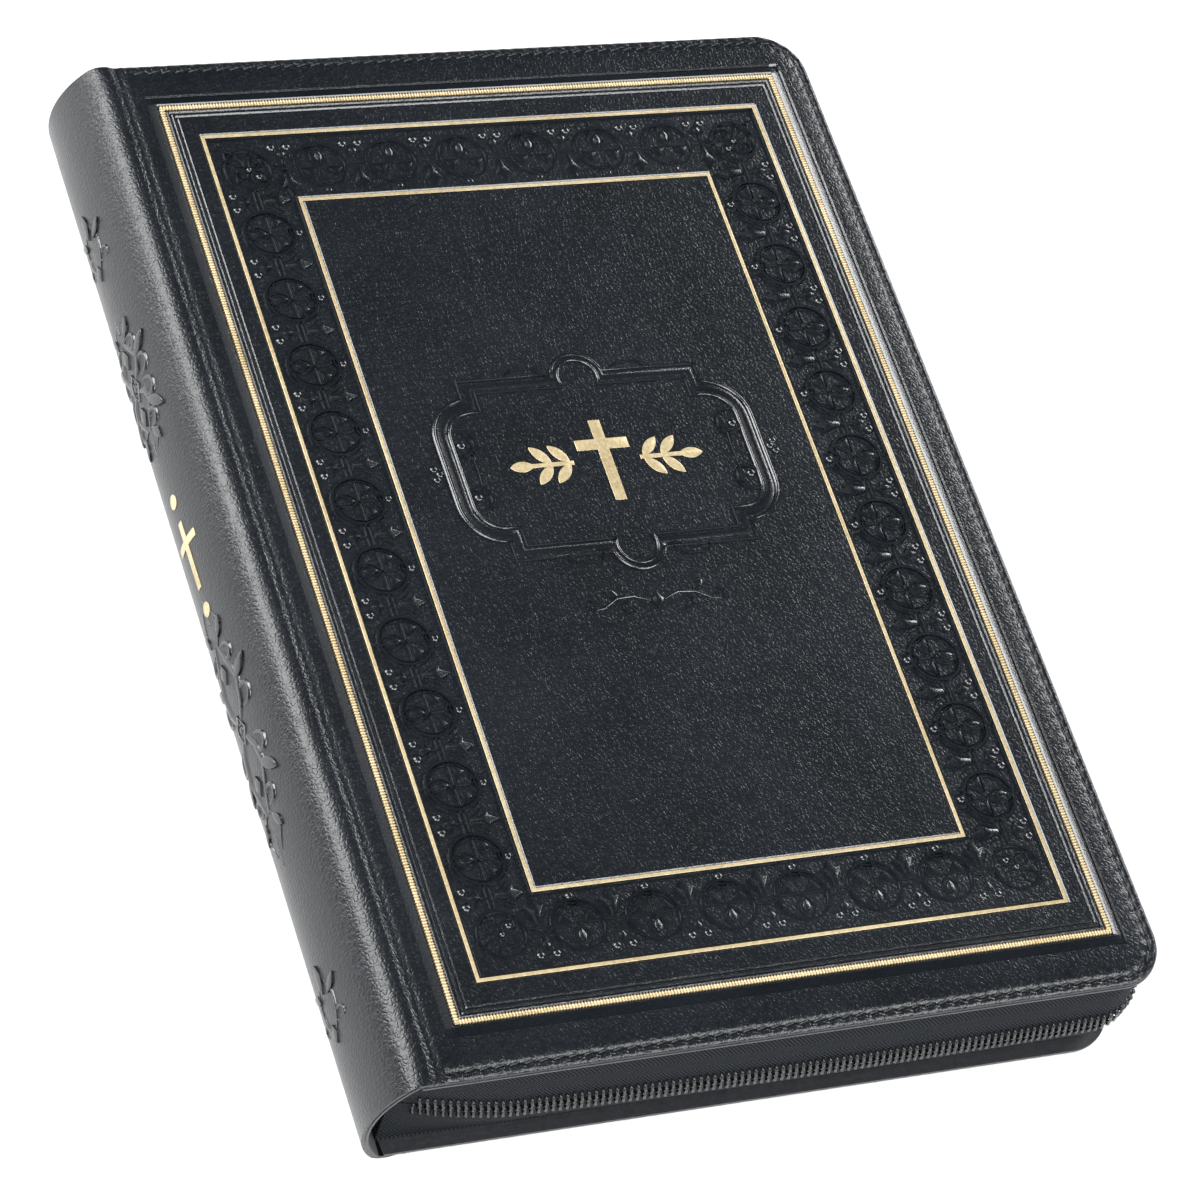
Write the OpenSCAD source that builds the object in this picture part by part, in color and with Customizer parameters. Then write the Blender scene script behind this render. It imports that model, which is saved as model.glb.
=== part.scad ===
// Zip-round bible in soft padded covers, lying closed on its back cover.
// Millimetres. +Z up, +X from the spine to the fore-edge, +Y from the tail to the head.

/* [Covers] */
// height of the covers, head to tail
cover_h = 244; // [225:1:260]
// distance from the spine fold to the fore-edge of a cover
cover_w = 165.7; // [155:0.1:180]
// thickness of the whole closed book
book_t = 31; // [29:0.5:36]
// radius of the two fore-edge corners of a cover
corner_r = 10.5; // [10:0.5:12]
// thickness of the outer leather skin
skin_t = 0.9; // [0.8:0.05:1]
// thickness of the pale backing cloth under the skin
backing_t = 0.5; // [0.4:0.05:0.6]
// thickness of the padded board
board_t = 1.4; // [1.2:0.1:1.6]
// thickness of the inner lining
lining_t = 0.5; // [0.4:0.05:0.6]
// thickness of the paper glued inside each cover
paste_t = 0.2; // [0.15:0.05:0.25]
// width over which the rim of a cover rounds off
rim_w = 7; // [6.5:0.25:7.5]
// how far the rim drops below the padded middle
rim_drop = 0.8; // [0.7:0.05:0.9]

/* [Spine] */
// outside radius of the round spine
spine_r = 22; // [21:0.5:24]
// thickness of the spine stiffener
stiff_t = 1; // [0.8:0.1:1.2]

/* [Tooling] */
// width of the beaded gold frame
bead_frame_w = 144.1; // [140:0.1:146]
// height of the beaded gold frame
bead_frame_h = 220; // [200:0.5:222]
// width of the gold line outside the ornament border
outer_line_w = 130.1; // [126:0.1:132]
// height of the gold line outside the ornament border
outer_line_h = 203.8; // [190:0.1:206]
// width of the gold line inside the ornament border
inner_line_w = 95.8; // [90:0.1:98]
// height of the gold line inside the ornament border
inner_line_h = 168.4; // [160:0.1:170]
// distance of the frames' middle from the middle of the book's width
frame_shift = 3.1; // [2:0.1:4]
// width of the beaded gold line
bead_w = 1.5; // [1.3:0.1:1.6]
// width of the plain gold lines
line_w = 0.8; // [0.7:0.1:1]
// width of the blind pressed lines beside the beaded line
press_w = 0.8; // [0.6:0.1:0.9]
// width of the panel pressed into the middle of the front cover
panel_w = 72.6; // [66:0.1:76]
// height of that panel
panel_h = 44.6; // [40:0.1:48]
// width of the panel's pressed line
panel_line = 0.7; // [0.5:0.1:0.8]
// height of the gold cross
cross_h = 20; // [18:0.5:22]
// width across the arms of the gold cross
cross_arm = 12; // [10:0.5:13]
// width of the cross's beams
cross_w = 2.6; // [2:0.1:3]
// depth of the pressed lines and of the sunk border
tool_depth = 0.25; // [0.2:0.05:0.3]
// thickness of the gold foil
foil_t = 0.12; // [0.1:0.01:0.15]

/* [Zip] */
// thickness of the zip tape
tape_t = 0.7; // [0.6:0.05:0.8]
// how far the tape wall bulges outward at mid height
tape_bulge = 1.8; // [1.6:0.1:2]
// how far the tape wall starts inside the rim
tape_inset = 1.4; // [1.3:0.1:1.6]
// how far the head and tail walls are set in further
head_inset = 1.8; // [1.6:0.1:2]
// gap between the two halves of the zip along the head, where the slider's blade runs
zip_gap = 1.4; // [1.4:0.1:1.6]
// gap between the two halves where the zip stays closed
closed_gap = 0.6; // [0.6:0.1:1]
// width of one half of the coil
coil_w = 2.4; // [2.2:0.1:2.5]
// thickness of the coil on the tape
coil_t = 1.2; // [1:0.1:1.3]
// length of the slider
slider_l = 9; // [8:0.5:10]
// length of the pull tab from its pin
pull_l = 22; // [18:1:26]

/* [Pages] */
// height of the page block
page_h = 226; // [215:1:227]
// width of the page block at the fore-edge from the spine fold
page_w = 157; // [150:1:158]
// how far the back of the pages rounds outward
round_sag = 3; // [2.5:0.1:3.2]
// radius of the pages' fore-edge corners
page_corner = 9; // [7:0.5:9]
// radius of the rolled head and tail bands
band_r = 0.9; // [0.8:0.05:0.95]
// thickness of a single loose leaf
leaf_t = 0.2; // [0.15:0.05:0.2]
// clearance between loose leaves
leaf_gap = 0.3; // [0.3:0.05:0.35]
// width of the ribbon marker
ribbon_w = 6.5; // [5:0.5:8]
// thickness of the ribbon marker
ribbon_t = 0.25; // [0.2:0.05:0.3]

/* [Stitching] */
// pitch of the stitches
stitch_pitch = 3.1; // [3:0.1:3.5]
// length of one stitch
stitch_l = 2.4; // [2:0.1:2.6]
// distance of the seam from the edge of a cover
seam_in = 2; // [2:0.1:2.3]

/* [Hidden] */
$fn = 64;
eps = 0.02;

// heights
mid_z = book_t / 2;
cover_t = skin_t + backing_t + board_t + lining_t;
lining_z = book_t - cover_t;
paste_z = lining_z - paste_t;
leaf_step = leaf_t + leaf_gap;
fly_z = paste_z - leaf_step;
gift_z = fly_z - leaf_step;
title_z = gift_z - leaf_step;
page_top = title_z - leaf_gap - ribbon_t;
rear_z = cover_t + paste_t + leaf_gap;
page_bot = rear_z + leaf_step;
page_t = page_top - page_bot;

// plan
coil_out = corner_r - tape_inset + tape_bulge + coil_t;
half_w = (cover_w + (coil_out - corner_r) + spine_sag()) / 2;
fold_x = -half_w + spine_sag();
edge_x = fold_x + cover_w;
cx = edge_x - corner_r;
cy = cover_h / 2 - corner_r;
zip_cy = cy - head_inset;
skin_x = fold_x + 0.8;
layer_x = fold_x + 1.4;
wall_x = fold_x + 0.2;
spine_cx = -half_w + spine_r;
spine_half_a = asin(mid_z / spine_r);
rim_r = (rim_w * rim_w + rim_drop * rim_drop) / (2 * rim_drop);
rim_start = corner_r - rim_w;
rim_over = 0.15;
wall_half = mid_z - skin_t - backing_t - rim_drop;
wall_r = corner_r - tape_inset;
wall_steps = 5;
hem_play = 0.05;
tape_mid_r = wall_r + tape_bulge;
seam_r = corner_r - seam_in;
seam_w = 1.3;
seam_floor = 0.86;
stitch_w = 0.6;
stitch_t = 0.5;
stitch_slant = 12;

// slider, measured outward from the head wall
tape_y = zip_cy + tape_mid_r;
nose_x = fold_x + 2.2;
rear_x = nose_x + slider_l;
coil_clear = 6.2;
coil_x = rear_x + coil_clear;
plate_half = 4.8;
plate_in_y = tape_y - tape_t - 0.6;
plate_out_y = tape_y + coil_t + 0.4;
plate_t = 1.2;
rail_w = 1;
blade_t = 0.7;
coil_round = 0.5;
coil_end = 0.6;
pin_r = 0.55;
pin_play = 0.08;
pin_x = nose_x + 2.6;
pin_y = plate_out_y + plate_t + 1.5;
ear_r = 1.3;
ear_in = 2.2;
ear_w = 1;
pull_t = 1.2;
pull_eye_out = 3.2;
pull_eye_in = 1.4;
pull_slot_x = 3.6;
pull_slot_l = 8;
pull_slot_w = 1.6;
barrel_r = 1.15;
barrel_play = 0.2;
pin_grip = 0.005;
stop_l = 1.5;
stop_h = 2.2;
stop_gap = 0.4;
blade_x = 0.6;
blade_l = 2.8;
rail_play = 0.3;

// ribbon, laid slantwise over the pages
ribbon_head_x = 4.6;
ribbon_tail_x = 25.6;
ribbon_end = 4;

// seam
run_start = 3.5;
corner_stitches = 4;
corner_shrink = 0.9;
lay_y = (pin_y + ear_r - (cover_h / 2 + rim_over)) / 2;

// pages, measured from the spine fold
page_x = fold_x + 1.6;
page_r = (page_t * page_t / 4 + round_sag * round_sag) / (2 * round_sag);
page_mid = (page_top + page_bot) / 2;
page_fore = fold_x + page_w;
back_half = asin(page_t / 2 / page_r);
back_steps = 16;
mull_t = 0.4;
mull_half = back_half - 1;
mull_in = 6;
lining_out = 5;
paste_in = 0.6;
paste_out = 1;
paste_corner = 6;

// blind lines on either side of the beaded line
press_out = 5.5;
press_in = 4;

// panel and its gold device
panel_y = 12.9;
panel_step = 9;
panel_drop = 4;
panel_arch = 5.4;
panel_inner = 3.3;
device_play = 0.1;
stem_x = 7.6;
stem_l = 9.5;
stem_w = 1;
tip_l = 5.5;
tip_w = 2.6;
leaf_x = 8.4;
leaf_pitch = 4.2;
leaf_l = 6;
leaf_w = 2.4;
leaf_turn = 48;

// device on the spine
spine_mark_y = 8;
spine_mark_up = 1;
spine_mark_l = 16;
spine_mark_w = 1.8;
spine_mark_arm = 9;
spine_mark_arm_x = 3;
spine_dot_x = 13;
spine_dot_r = 1.6;
spine_mark_half_a = 30;

function spine_sag() = spine_r - sqrt(spine_r * spine_r - mid_z * mid_z);

// ---- shared outlines ----

module lay() {
    translate([0, -lay_y, 0]) children();
}

module flip() {
    translate([0, 0, book_t]) mirror([0, 0, 1]) children();
}

// Sweeps a section (distance from the corner centre, height) round head, fore-edge and tail.
module round_edge(x0, head_y, tail_y) {
    translate([x0, head_y, 0]) rotate([90, 0, 90]) linear_extrude(cx - x0) children();
    translate([cx, head_y, 0]) rotate_extrude(angle = 90) children();
    translate([cx, head_y, 0]) rotate([90, 0, 0]) linear_extrude(head_y - tail_y) children();
    translate([cx, tail_y, 0]) rotate([0, 0, -90]) rotate_extrude(angle = 90) children();
    translate([x0, tail_y, 0]) mirror([0, 1, 0]) rotate([90, 0, 90]) linear_extrude(cx - x0) children();
}

// The zip's own path. The first section runs straight along the head, under the slider.
module zip_head(head_x) {
    translate([head_x, zip_cy, 0]) rotate([90, 0, 90]) linear_extrude(cx - head_x) children();
}

// The second section runs round the fore-edge and back along the tail.
module zip_round(tail_x) {
    translate([cx, zip_cy, 0]) rotate_extrude(angle = 90) children();
    translate([cx, zip_cy, 0]) rotate([90, 0, 0]) linear_extrude(2 * zip_cy) children();
    translate([cx, -zip_cy, 0]) rotate([0, 0, -90]) rotate_extrude(angle = 90) children();
    translate([tail_x, -zip_cy, 0]) mirror([0, 1, 0]) rotate([90, 0, 90])
        linear_extrude(cx - tail_x) children();
}

// Plan of a sheet whose fore-edge corners are rounded.
module sheet_plan(x0, x1, half_h, r) {
    translate([x0, -half_h]) square([x1 - x0 - r, 2 * half_h]);
    translate([x0, r - half_h]) square([x1 - x0, 2 * (half_h - r)]);
    for (s = [-1, 1]) translate([x1 - r, s * (half_h - r)]) circle(r);
}

module rim_band(top, t, out) {
    intersection() {
        translate([rim_start, book_t - rim_r]) difference() {
            circle(r = rim_r - top, $fn = 180);
            circle(r = rim_r - top - t, $fn = 180);
        }
        translate([rim_start, 0]) square([rim_w + out, book_t]);
    }
}

// ---- cover layers, drawn for the front cover ----

module frame_line(w, h, line_w, depth, top) {
    translate([frame_shift, 0, top - depth]) linear_extrude(depth + eps) difference() {
        square([w + line_w, h + line_w], center = true);
        square([w - line_w, h - line_w], center = true);
    }
}

module frame_foil(w, h, line_w) {
    translate([frame_shift, 0, book_t - tool_depth]) linear_extrude(foil_t) difference() {
        square([w + line_w, h + line_w], center = true);
        square([w - line_w, h - line_w], center = true);
    }
}

module skin_body() {
    difference() {
        union() {
            translate([skin_x, -cy - rim_start, book_t - skin_t])
                cube([cx + rim_start - skin_x - rim_start, 2 * (cy + rim_start), skin_t]);
            translate([cx - eps, -cy, book_t - skin_t]) cube([rim_start + eps, 2 * cy, skin_t]);
            for (s = [-1, 1]) translate([cx, s * cy, book_t - skin_t]) cylinder(r = rim_start, h = skin_t);
            round_edge(skin_x, cy, -cy) rim_band(0, skin_t, 0);
        }
        round_edge(skin_x + 2, cy, -cy)
            translate([seam_r - seam_w / 2, book_t - seam_floor]) square([seam_w, seam_floor + 1]);
    }
}

module front_skin() color([0.07, 0.08, 0.10]) lay() difference() {
    skin_body();
    frame_line(bead_frame_w, bead_frame_h, bead_w, tool_depth, book_t);
    frame_line(outer_line_w, outer_line_h, line_w, tool_depth, book_t);
    frame_line(inner_line_w, inner_line_h, line_w, tool_depth, book_t);
    frame_line(bead_frame_w + press_out, bead_frame_h + press_out, press_w, tool_depth, book_t);
    frame_line(bead_frame_w - press_in, bead_frame_h - press_in, press_w, tool_depth, book_t);
    border_w = (outer_line_w + inner_line_w) / 2;
    border_h = (outer_line_h + inner_line_h) / 2;
    frame_line(border_w, border_h, (outer_line_w - inner_line_w) / 2 - 2 * line_w, tool_depth, book_t);
    panel_groove(0);
    panel_groove(panel_inner);
    device_plan_at(book_t - tool_depth, tool_depth + eps, device_play);
}

module back_skin() color([0.07, 0.08, 0.10]) lay() flip() difference() {
    skin_body();
    frame_line(bead_frame_w, bead_frame_h, press_w, tool_depth, book_t);
    frame_line(bead_frame_w - press_in, bead_frame_h - press_in, press_w, tool_depth, book_t);
}

// The stepped and arched panel outline, shrunk by an even distance.
module panel_plan(inset) {
    w = panel_w / 2 - inset;
    h = panel_h / 2 - inset;
    square([2 * (w - panel_step), 2 * h], center = true);
    square([2 * w, 2 * (h - panel_step - panel_drop)], center = true);
    for (sx = [-1, 1]) for (sy = [-1, 1])
        translate([sx * (w - panel_step), sy * (h - panel_drop - panel_step)]) circle(panel_step);
    for (sy = [-1, 1]) translate([0, sy * h]) circle(panel_arch);
}

module panel_groove(inset) {
    translate([frame_shift, panel_y, book_t - tool_depth]) linear_extrude(tool_depth + eps) difference() {
        panel_plan(inset);
        panel_plan(inset + panel_line);
    }
}

// A plain cross between two leaf sprays, each spray a stem with four leaves.
module leaf_plan(l, w) {
    r = (l * l + w * w) / (4 * w);
    intersection() {
        translate([l / 2, w / 2 - r]) circle(r);
        translate([l / 2, r - w / 2]) circle(r);
    }
}

module device_plan(grow) {
    square([cross_w + grow, cross_h + grow], center = true);
    translate([0, cross_h / 5]) square([cross_arm + grow, cross_w + grow], center = true);
    for (s = [0, 1]) mirror([s, 0, 0]) {
        translate([stem_x, -(grow + stem_w) / 2]) square([stem_l, stem_w + grow]);
        translate([stem_x + stem_l - stem_w / 2, 0]) leaf_plan(tip_l + grow, tip_w + grow);
        for (i = [0, 1]) for (m = [0, 1]) mirror([0, m, 0])
            translate([leaf_x + i * leaf_pitch, stem_w / 5]) rotate(leaf_turn)
                leaf_plan(leaf_l + grow, leaf_w + grow);
    }
}

module device_plan_at(z, t, grow) {
    translate([frame_shift, panel_y, z]) linear_extrude(t) device_plan(grow);
}

module gold_device() color([0.88, 0.82, 0.66]) lay() device_plan_at(book_t - tool_depth, foil_t, 0);

module gold_frames() color([0.88, 0.82, 0.66]) lay() {
    frame_foil(bead_frame_w, bead_frame_h, bead_w - 0.1);
    frame_foil(outer_line_w, outer_line_h, line_w - 0.1);
    frame_foil(inner_line_w, inner_line_h, line_w - 0.1);
}

module backing_body() {
    z = book_t - skin_t - backing_t;
    translate([layer_x, -cy - rim_start, z]) cube([cx - layer_x, 2 * (cy + rim_start), backing_t]);
    translate([cx - eps, -cy, z]) cube([rim_start + eps, 2 * cy, backing_t]);
    for (s = [-1, 1]) translate([cx, s * cy, z]) cylinder(r = rim_start, h = backing_t);
    round_edge(layer_x, cy, -cy) rim_band(skin_t, backing_t, rim_over);
}

module front_backing() color([0.62, 0.63, 0.64]) lay() backing_body();

module back_backing() color([0.62, 0.63, 0.64]) lay() flip() backing_body();

module board_body() {
    translate([layer_x, -cy, lining_z + lining_t]) cube([cx - layer_x, 2 * cy, board_t]);
}

module front_board() color([0.55, 0.50, 0.42]) lay() board_body();

module back_board() color([0.55, 0.50, 0.42]) lay() flip() board_body();

module lining_body() {
    translate([0, 0, lining_z]) linear_extrude(lining_t)
        sheet_plan(layer_x, cx + lining_out, cy + lining_out, lining_out);
}

module front_lining() color([0.10, 0.10, 0.12]) lay() lining_body();

module back_lining() color([0.10, 0.10, 0.12]) lay() flip() lining_body();

module paste_body() {
    translate([0, 0, paste_z]) linear_extrude(paste_t)
        sheet_plan(layer_x + paste_in, cx + paste_out, cy, paste_corner);
}

module front_pastedown() color([0.16, 0.16, 0.18]) lay() paste_body();

module back_pastedown() color([0.16, 0.16, 0.18]) lay() flip() paste_body();

// ---- seams ----

module one_stitch() {
    translate([0, 0, book_t - seam_floor + stitch_t / 2]) rotate([0, 0, stitch_slant])
        cube([stitch_l, stitch_w, stitch_t], center = true);
}

module seam() {
    run_x0 = skin_x + run_start;
    n_x = floor((cx - run_x0) / stitch_pitch);
    n_y = floor(2 * cy / stitch_pitch);
    step_y = 2 * cy / n_y;
    for (i = [0 : n_x - 1]) {
        translate([cx - (i + 0.5) * stitch_pitch, cy + seam_r, 0]) one_stitch();
        translate([cx - (i + 0.5) * stitch_pitch, -cy - seam_r, 0]) one_stitch();
    }
    for (i = [0 : n_y - 1]) translate([cx + seam_r, -cy + (i + 0.5) * step_y, 0]) rotate(90) one_stitch();
    for (i = [0 : corner_stitches - 1]) for (s = [0, 1])
        translate([cx, s == 0 ? cy : -cy, 0]) rotate((i + 0.5) * 90 / corner_stitches - s * 90)
            translate([seam_r, 0, 0]) rotate(90) scale([corner_shrink, 1, 1]) one_stitch();
}

module front_stitching() color([0.12, 0.13, 0.15]) lay() seam();

module back_stitching() color([0.12, 0.13, 0.15]) lay() flip() seam();

// ---- zip ----

// How far out the tape wall stands at a height above the middle of the book.
function wall_out(h) = wall_r + tape_bulge * (1 - pow(h / wall_half, 2));

module tape_section(gap) {
    hem_t = board_t - rim_drop - hem_play;
    top = wall_half - hem_t;
    low = gap / 2;
    steps = [for (i = [0 : wall_steps]) low + (top - low) * i / wall_steps];
    // hem between backing and lining
    translate([rim_start, mid_z + top]) square([wall_r - rim_start, hem_t]);
    // wall
    polygon(concat([for (h = steps) [wall_out(h), mid_z + h]],
        [[wall_r - hem_play, mid_z + top + hem_t / 2], [wall_r - tape_t, mid_z + top + hem_t / 2]],
        [for (i = [wall_steps : -1 : 0]) [wall_out(steps[i]) - tape_t, mid_z + steps[i]]]));
}

module tape_half() {
    zip_head(wall_x) tape_section(zip_gap);
    zip_round(wall_x) tape_section(closed_gap);
}

module upper_zip_tape() color([0.17, 0.18, 0.20]) lay() tape_half();

module lower_zip_tape() color([0.17, 0.18, 0.20]) lay() flip() tape_half();

module coil_section(gap) {
    w = coil_w + (zip_gap - gap) / 2;
    translate([tape_mid_r, mid_z + gap / 2]) {
        square([coil_t - coil_round, w]);
        translate([0, coil_round]) square([coil_t, w - 2 * coil_round]);
        for (s = [coil_round, w - coil_round]) translate([coil_t - coil_round, s]) circle(coil_round);
    }
}

module coil_half() {
    zip_head(coil_x) coil_section(zip_gap);
    zip_round(wall_x + coil_end) coil_section(closed_gap);
}

module upper_zip_coil() color([0.06, 0.06, 0.07]) lay() coil_half();

module lower_zip_coil() color([0.06, 0.06, 0.07]) lay() flip() coil_half();

module zip_end_stop() color([0.30, 0.30, 0.32]) lay()
    translate([nose_x - stop_gap - stop_l, tape_y, mid_z - zip_gap / 2 - stop_h])
        cube([stop_l, coil_t, stop_h]);

// ---- slider ----

module plate_plan() {
    translate([plate_half, 0]) circle(plate_half);
    translate([plate_half, -plate_half]) square([slider_l - plate_half, 2 * plate_half]);
}

module plate(y0, t) {
    translate([nose_x, y0 + t, mid_z]) rotate([90, 0, 0]) linear_extrude(t) plate_plan();
}

module zip_slider() color([0.34, 0.34, 0.36]) lay() difference() {
    union() {
        plate(plate_in_y - plate_t, plate_t);
        plate(plate_out_y, plate_t);
        translate([nose_x + blade_x, plate_in_y - eps, mid_z - blade_t / 2])
            cube([blade_l, plate_out_y - plate_in_y + 2 * eps, blade_t]);
        for (s = [-1, 1])
            translate([nose_x + plate_half, tape_y + rail_play, mid_z + s * (plate_half - rail_w / 2)])
                translate([0, 0, -rail_w / 2])
                    cube([slider_l - plate_half, plate_out_y - tape_y - rail_play + eps, rail_w]);
        for (s = [-1, 1]) {
            z0 = mid_z + s * (ear_in + ear_w / 2) - ear_w / 2;
            translate([pin_x, pin_y, z0]) cylinder(r = ear_r, h = ear_w);
            translate([pin_x - ear_r, plate_out_y + plate_t - eps, z0])
                cube([2 * ear_r, pin_y - plate_out_y - plate_t + eps, ear_w]);
        }
    }
    translate([pin_x, pin_y, mid_z - plate_half]) cylinder(r = pin_r + pin_grip, h = 2 * plate_half);
}

module pull_pin() color([0.40, 0.40, 0.42]) lay()
    translate([pin_x, pin_y, mid_z - ear_in - ear_w]) cylinder(r = pin_r, h = 2 * (ear_in + ear_w));

module pull_tab() color([0.34, 0.34, 0.36]) lay() {
    barrel_half = ear_in - barrel_play;
    eye_x = pull_l - pull_eye_out;
    difference() {
        union() {
            translate([pin_x, pin_y, mid_z - barrel_half]) cylinder(r = barrel_r, h = 2 * barrel_half);
            translate([pin_x, pin_y + pull_t / 2, mid_z]) rotate([90, 0, 0])
                linear_extrude(pull_t) difference() {
                union() {
                    translate([0, -barrel_half]) square([eye_x, 2 * barrel_half]);
                    translate([eye_x, 0]) circle(pull_eye_out);
                }
                translate([eye_x, 0]) circle(pull_eye_in);
                translate([pull_slot_x, -pull_slot_w / 2]) square([pull_slot_l, pull_slot_w]);
            }
        }
        translate([pin_x, pin_y, mid_z - plate_half]) cylinder(r = pin_r + pin_play, h = 2 * plate_half);
    }
}

// ---- spine ----

module spine_ring(outer, t, half_h, half_a) {
    rotate([90, 0, 0]) translate([spine_cx, mid_z, -half_h]) linear_extrude(2 * half_h) intersection() {
        difference() {
            circle(r = outer, $fn = 180);
            circle(r = outer - t, $fn = 180);
        }
        polygon([[0, 0], [-2 * outer * cos(half_a), 2 * outer * sin(half_a)],
            [-2 * outer * cos(half_a), -2 * outer * sin(half_a)]]);
    }
}

module spine_skin() color([0.07, 0.08, 0.10]) lay()
    spine_ring(spine_r, skin_t, cover_h / 2, spine_half_a - 0.6);

module spine_backing() color([0.62, 0.63, 0.64]) lay()
    spine_ring(spine_r - skin_t, backing_t, cover_h / 2 + rim_over, spine_half_a - 1.2);

module spine_stiffener() color([0.55, 0.50, 0.42]) lay()
    spine_ring(spine_r - skin_t - backing_t, stiff_t, cy, spine_half_a - 9);

module spine_gold() color([0.88, 0.82, 0.66]) lay()
    intersection() {
        spine_ring(spine_r + foil_t, foil_t, cover_h / 2, spine_mark_half_a);
        translate([-half_w - 1, spine_mark_y, mid_z + spine_mark_up]) rotate([0, 90, 0]) rotate(90)
            linear_extrude(spine_r / 2) spine_device();
    }

module spine_device() {
    square([spine_mark_l, spine_mark_w], center = true);
    translate([spine_mark_arm_x, 0]) square([spine_mark_w, spine_mark_arm], center = true);
    for (s = [-1, 1]) translate([s * spine_dot_x, 0]) circle(spine_dot_r);
}

// ---- pages ----

// Side view of the pages: square at the fore-edge and rounded at the back.
module page_side() {
    round_back = [for (i = [0 : back_steps]) let (t = 180 - back_half + 2 * back_half * i / back_steps)
        [page_x - round_sag + page_r * (1 + cos(t)), page_mid + page_r * sin(t)]];
    polygon(concat([[page_fore, page_bot], [page_fore, page_top]], round_back));
}

module page_block() color([0.86, 0.80, 0.62]) lay() intersection() {
    translate([0, page_h / 2, 0]) rotate([90, 0, 0]) linear_extrude(page_h) page_side();
    translate([0, 0, page_bot - 1]) linear_extrude(page_t + 2)
        sheet_plan(page_x - round_sag - 1, page_fore, page_h / 2, page_corner);
}

module back_ring(outer, t, half_h, half_a) {
    rotate([90, 0, 0]) translate([page_x - round_sag + page_r, page_mid, -half_h]) linear_extrude(2 * half_h)
        intersection() {
            difference() {
                circle(r = outer, $fn = 180);
                circle(r = outer - t, $fn = 180);
            }
            polygon([[0, 0], [-2 * outer * cos(half_a), 2 * outer * sin(half_a)],
                [-2 * outer * cos(half_a), -2 * outer * sin(half_a)]]);
        }
}

module spine_mull() color([0.80, 0.78, 0.70]) lay()
    back_ring(page_r + mull_t, mull_t, page_h / 2 - mull_in, mull_half);

// A rolled band that sits over the end of the pages and follows their round back.
module end_band() {
    translate([page_x - round_sag + page_r, page_h / 2 + band_r, page_mid]) rotate([90, 0, 0])
        rotate([0, 0, 180 - mull_half]) rotate_extrude(angle = 2 * mull_half)
            translate([page_r - band_r - 0.2, 0]) circle(r = band_r, $fn = 24);
}

module head_band() color([0.80, 0.74, 0.58]) lay() end_band();

module tail_band() color([0.80, 0.74, 0.58]) lay() mirror([0, 1, 0]) end_band();

module ribbon_marker() color([0.10, 0.10, 0.12]) lay() {
    x_head = fold_x + ribbon_head_x;
    x_tail = fold_x + ribbon_tail_x;
    half_h = page_h / 2;
    translate([0, 0, page_top]) linear_extrude(ribbon_t) polygon([
        [x_head, half_h - 1],
        [x_head + ribbon_w, half_h - 1],
        [x_tail + ribbon_w, -half_h - ribbon_t],
        [x_tail, -half_h - ribbon_t]]);
    translate([x_tail, -half_h - ribbon_t, page_bot + ribbon_end])
        cube([ribbon_w, ribbon_t, page_t - ribbon_end + ribbon_t]);
}

module leaf_body(z) {
    translate([0, 0, z]) linear_extrude(leaf_t) sheet_plan(page_x, page_fore, page_h / 2, page_corner);
}

module front_flyleaf() color([0.16, 0.16, 0.18]) lay() leaf_body(fly_z);

module presentation_leaf() color([0.90, 0.87, 0.78]) lay() leaf_body(gift_z);

module title_leaf() color([0.90, 0.87, 0.78]) lay() leaf_body(title_z);

module rear_flyleaf() color([0.16, 0.16, 0.18]) lay() leaf_body(rear_z);

back_skin();
back_backing();
back_board();
back_lining();
back_pastedown();
back_stitching();
lower_zip_tape();
lower_zip_coil();
zip_end_stop();
page_block();
spine_skin();
spine_backing();
spine_stiffener();
spine_mull();
head_band();
tail_band();
ribbon_marker();
spine_gold();
front_skin();
front_backing();
front_board();
front_lining();
front_pastedown();
front_stitching();
upper_zip_tape();
upper_zip_coil();
gold_frames();
gold_device();
front_flyleaf();
presentation_leaf();
title_leaf();
rear_flyleaf();
zip_slider();
pull_pin();
pull_tab();
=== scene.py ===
"""A zip-round bible in soft padded covers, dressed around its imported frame."""

import logging
import math
from collections.abc import Callable, Iterator, Sequence
from contextlib import contextmanager
from dataclasses import dataclass
from enum import Enum

import bmesh
import bpy
from mathutils import Matrix, Vector


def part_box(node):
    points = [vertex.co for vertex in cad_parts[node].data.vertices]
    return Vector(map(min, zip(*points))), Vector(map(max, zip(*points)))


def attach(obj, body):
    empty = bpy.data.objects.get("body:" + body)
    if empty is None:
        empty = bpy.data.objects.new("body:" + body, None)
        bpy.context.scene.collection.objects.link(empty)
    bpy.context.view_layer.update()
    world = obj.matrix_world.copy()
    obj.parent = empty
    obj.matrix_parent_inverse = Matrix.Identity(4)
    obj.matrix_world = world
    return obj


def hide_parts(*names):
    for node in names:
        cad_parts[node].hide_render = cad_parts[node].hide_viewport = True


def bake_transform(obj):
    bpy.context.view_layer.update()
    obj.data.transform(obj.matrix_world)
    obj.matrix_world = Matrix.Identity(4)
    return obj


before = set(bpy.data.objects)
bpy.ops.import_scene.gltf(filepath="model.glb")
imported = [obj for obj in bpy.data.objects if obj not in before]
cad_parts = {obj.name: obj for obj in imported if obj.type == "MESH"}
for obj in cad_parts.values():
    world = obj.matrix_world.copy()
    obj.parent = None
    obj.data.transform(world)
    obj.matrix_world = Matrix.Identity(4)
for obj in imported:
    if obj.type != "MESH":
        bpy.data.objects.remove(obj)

LOG = logging.getLogger("bible")
MM = 0.001
TURN = 2 * math.pi

Piece = bpy.types.Object
Flat = tuple[float, float]
Colour = tuple[float, float, float, float]
Socket = bpy.types.NodeSocket


class Part(Enum):
    """What a selection takes hold of in edit mode."""

    VERTEX = "VERT"
    EDGE = "EDGE"
    FACE = "FACE"


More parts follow.
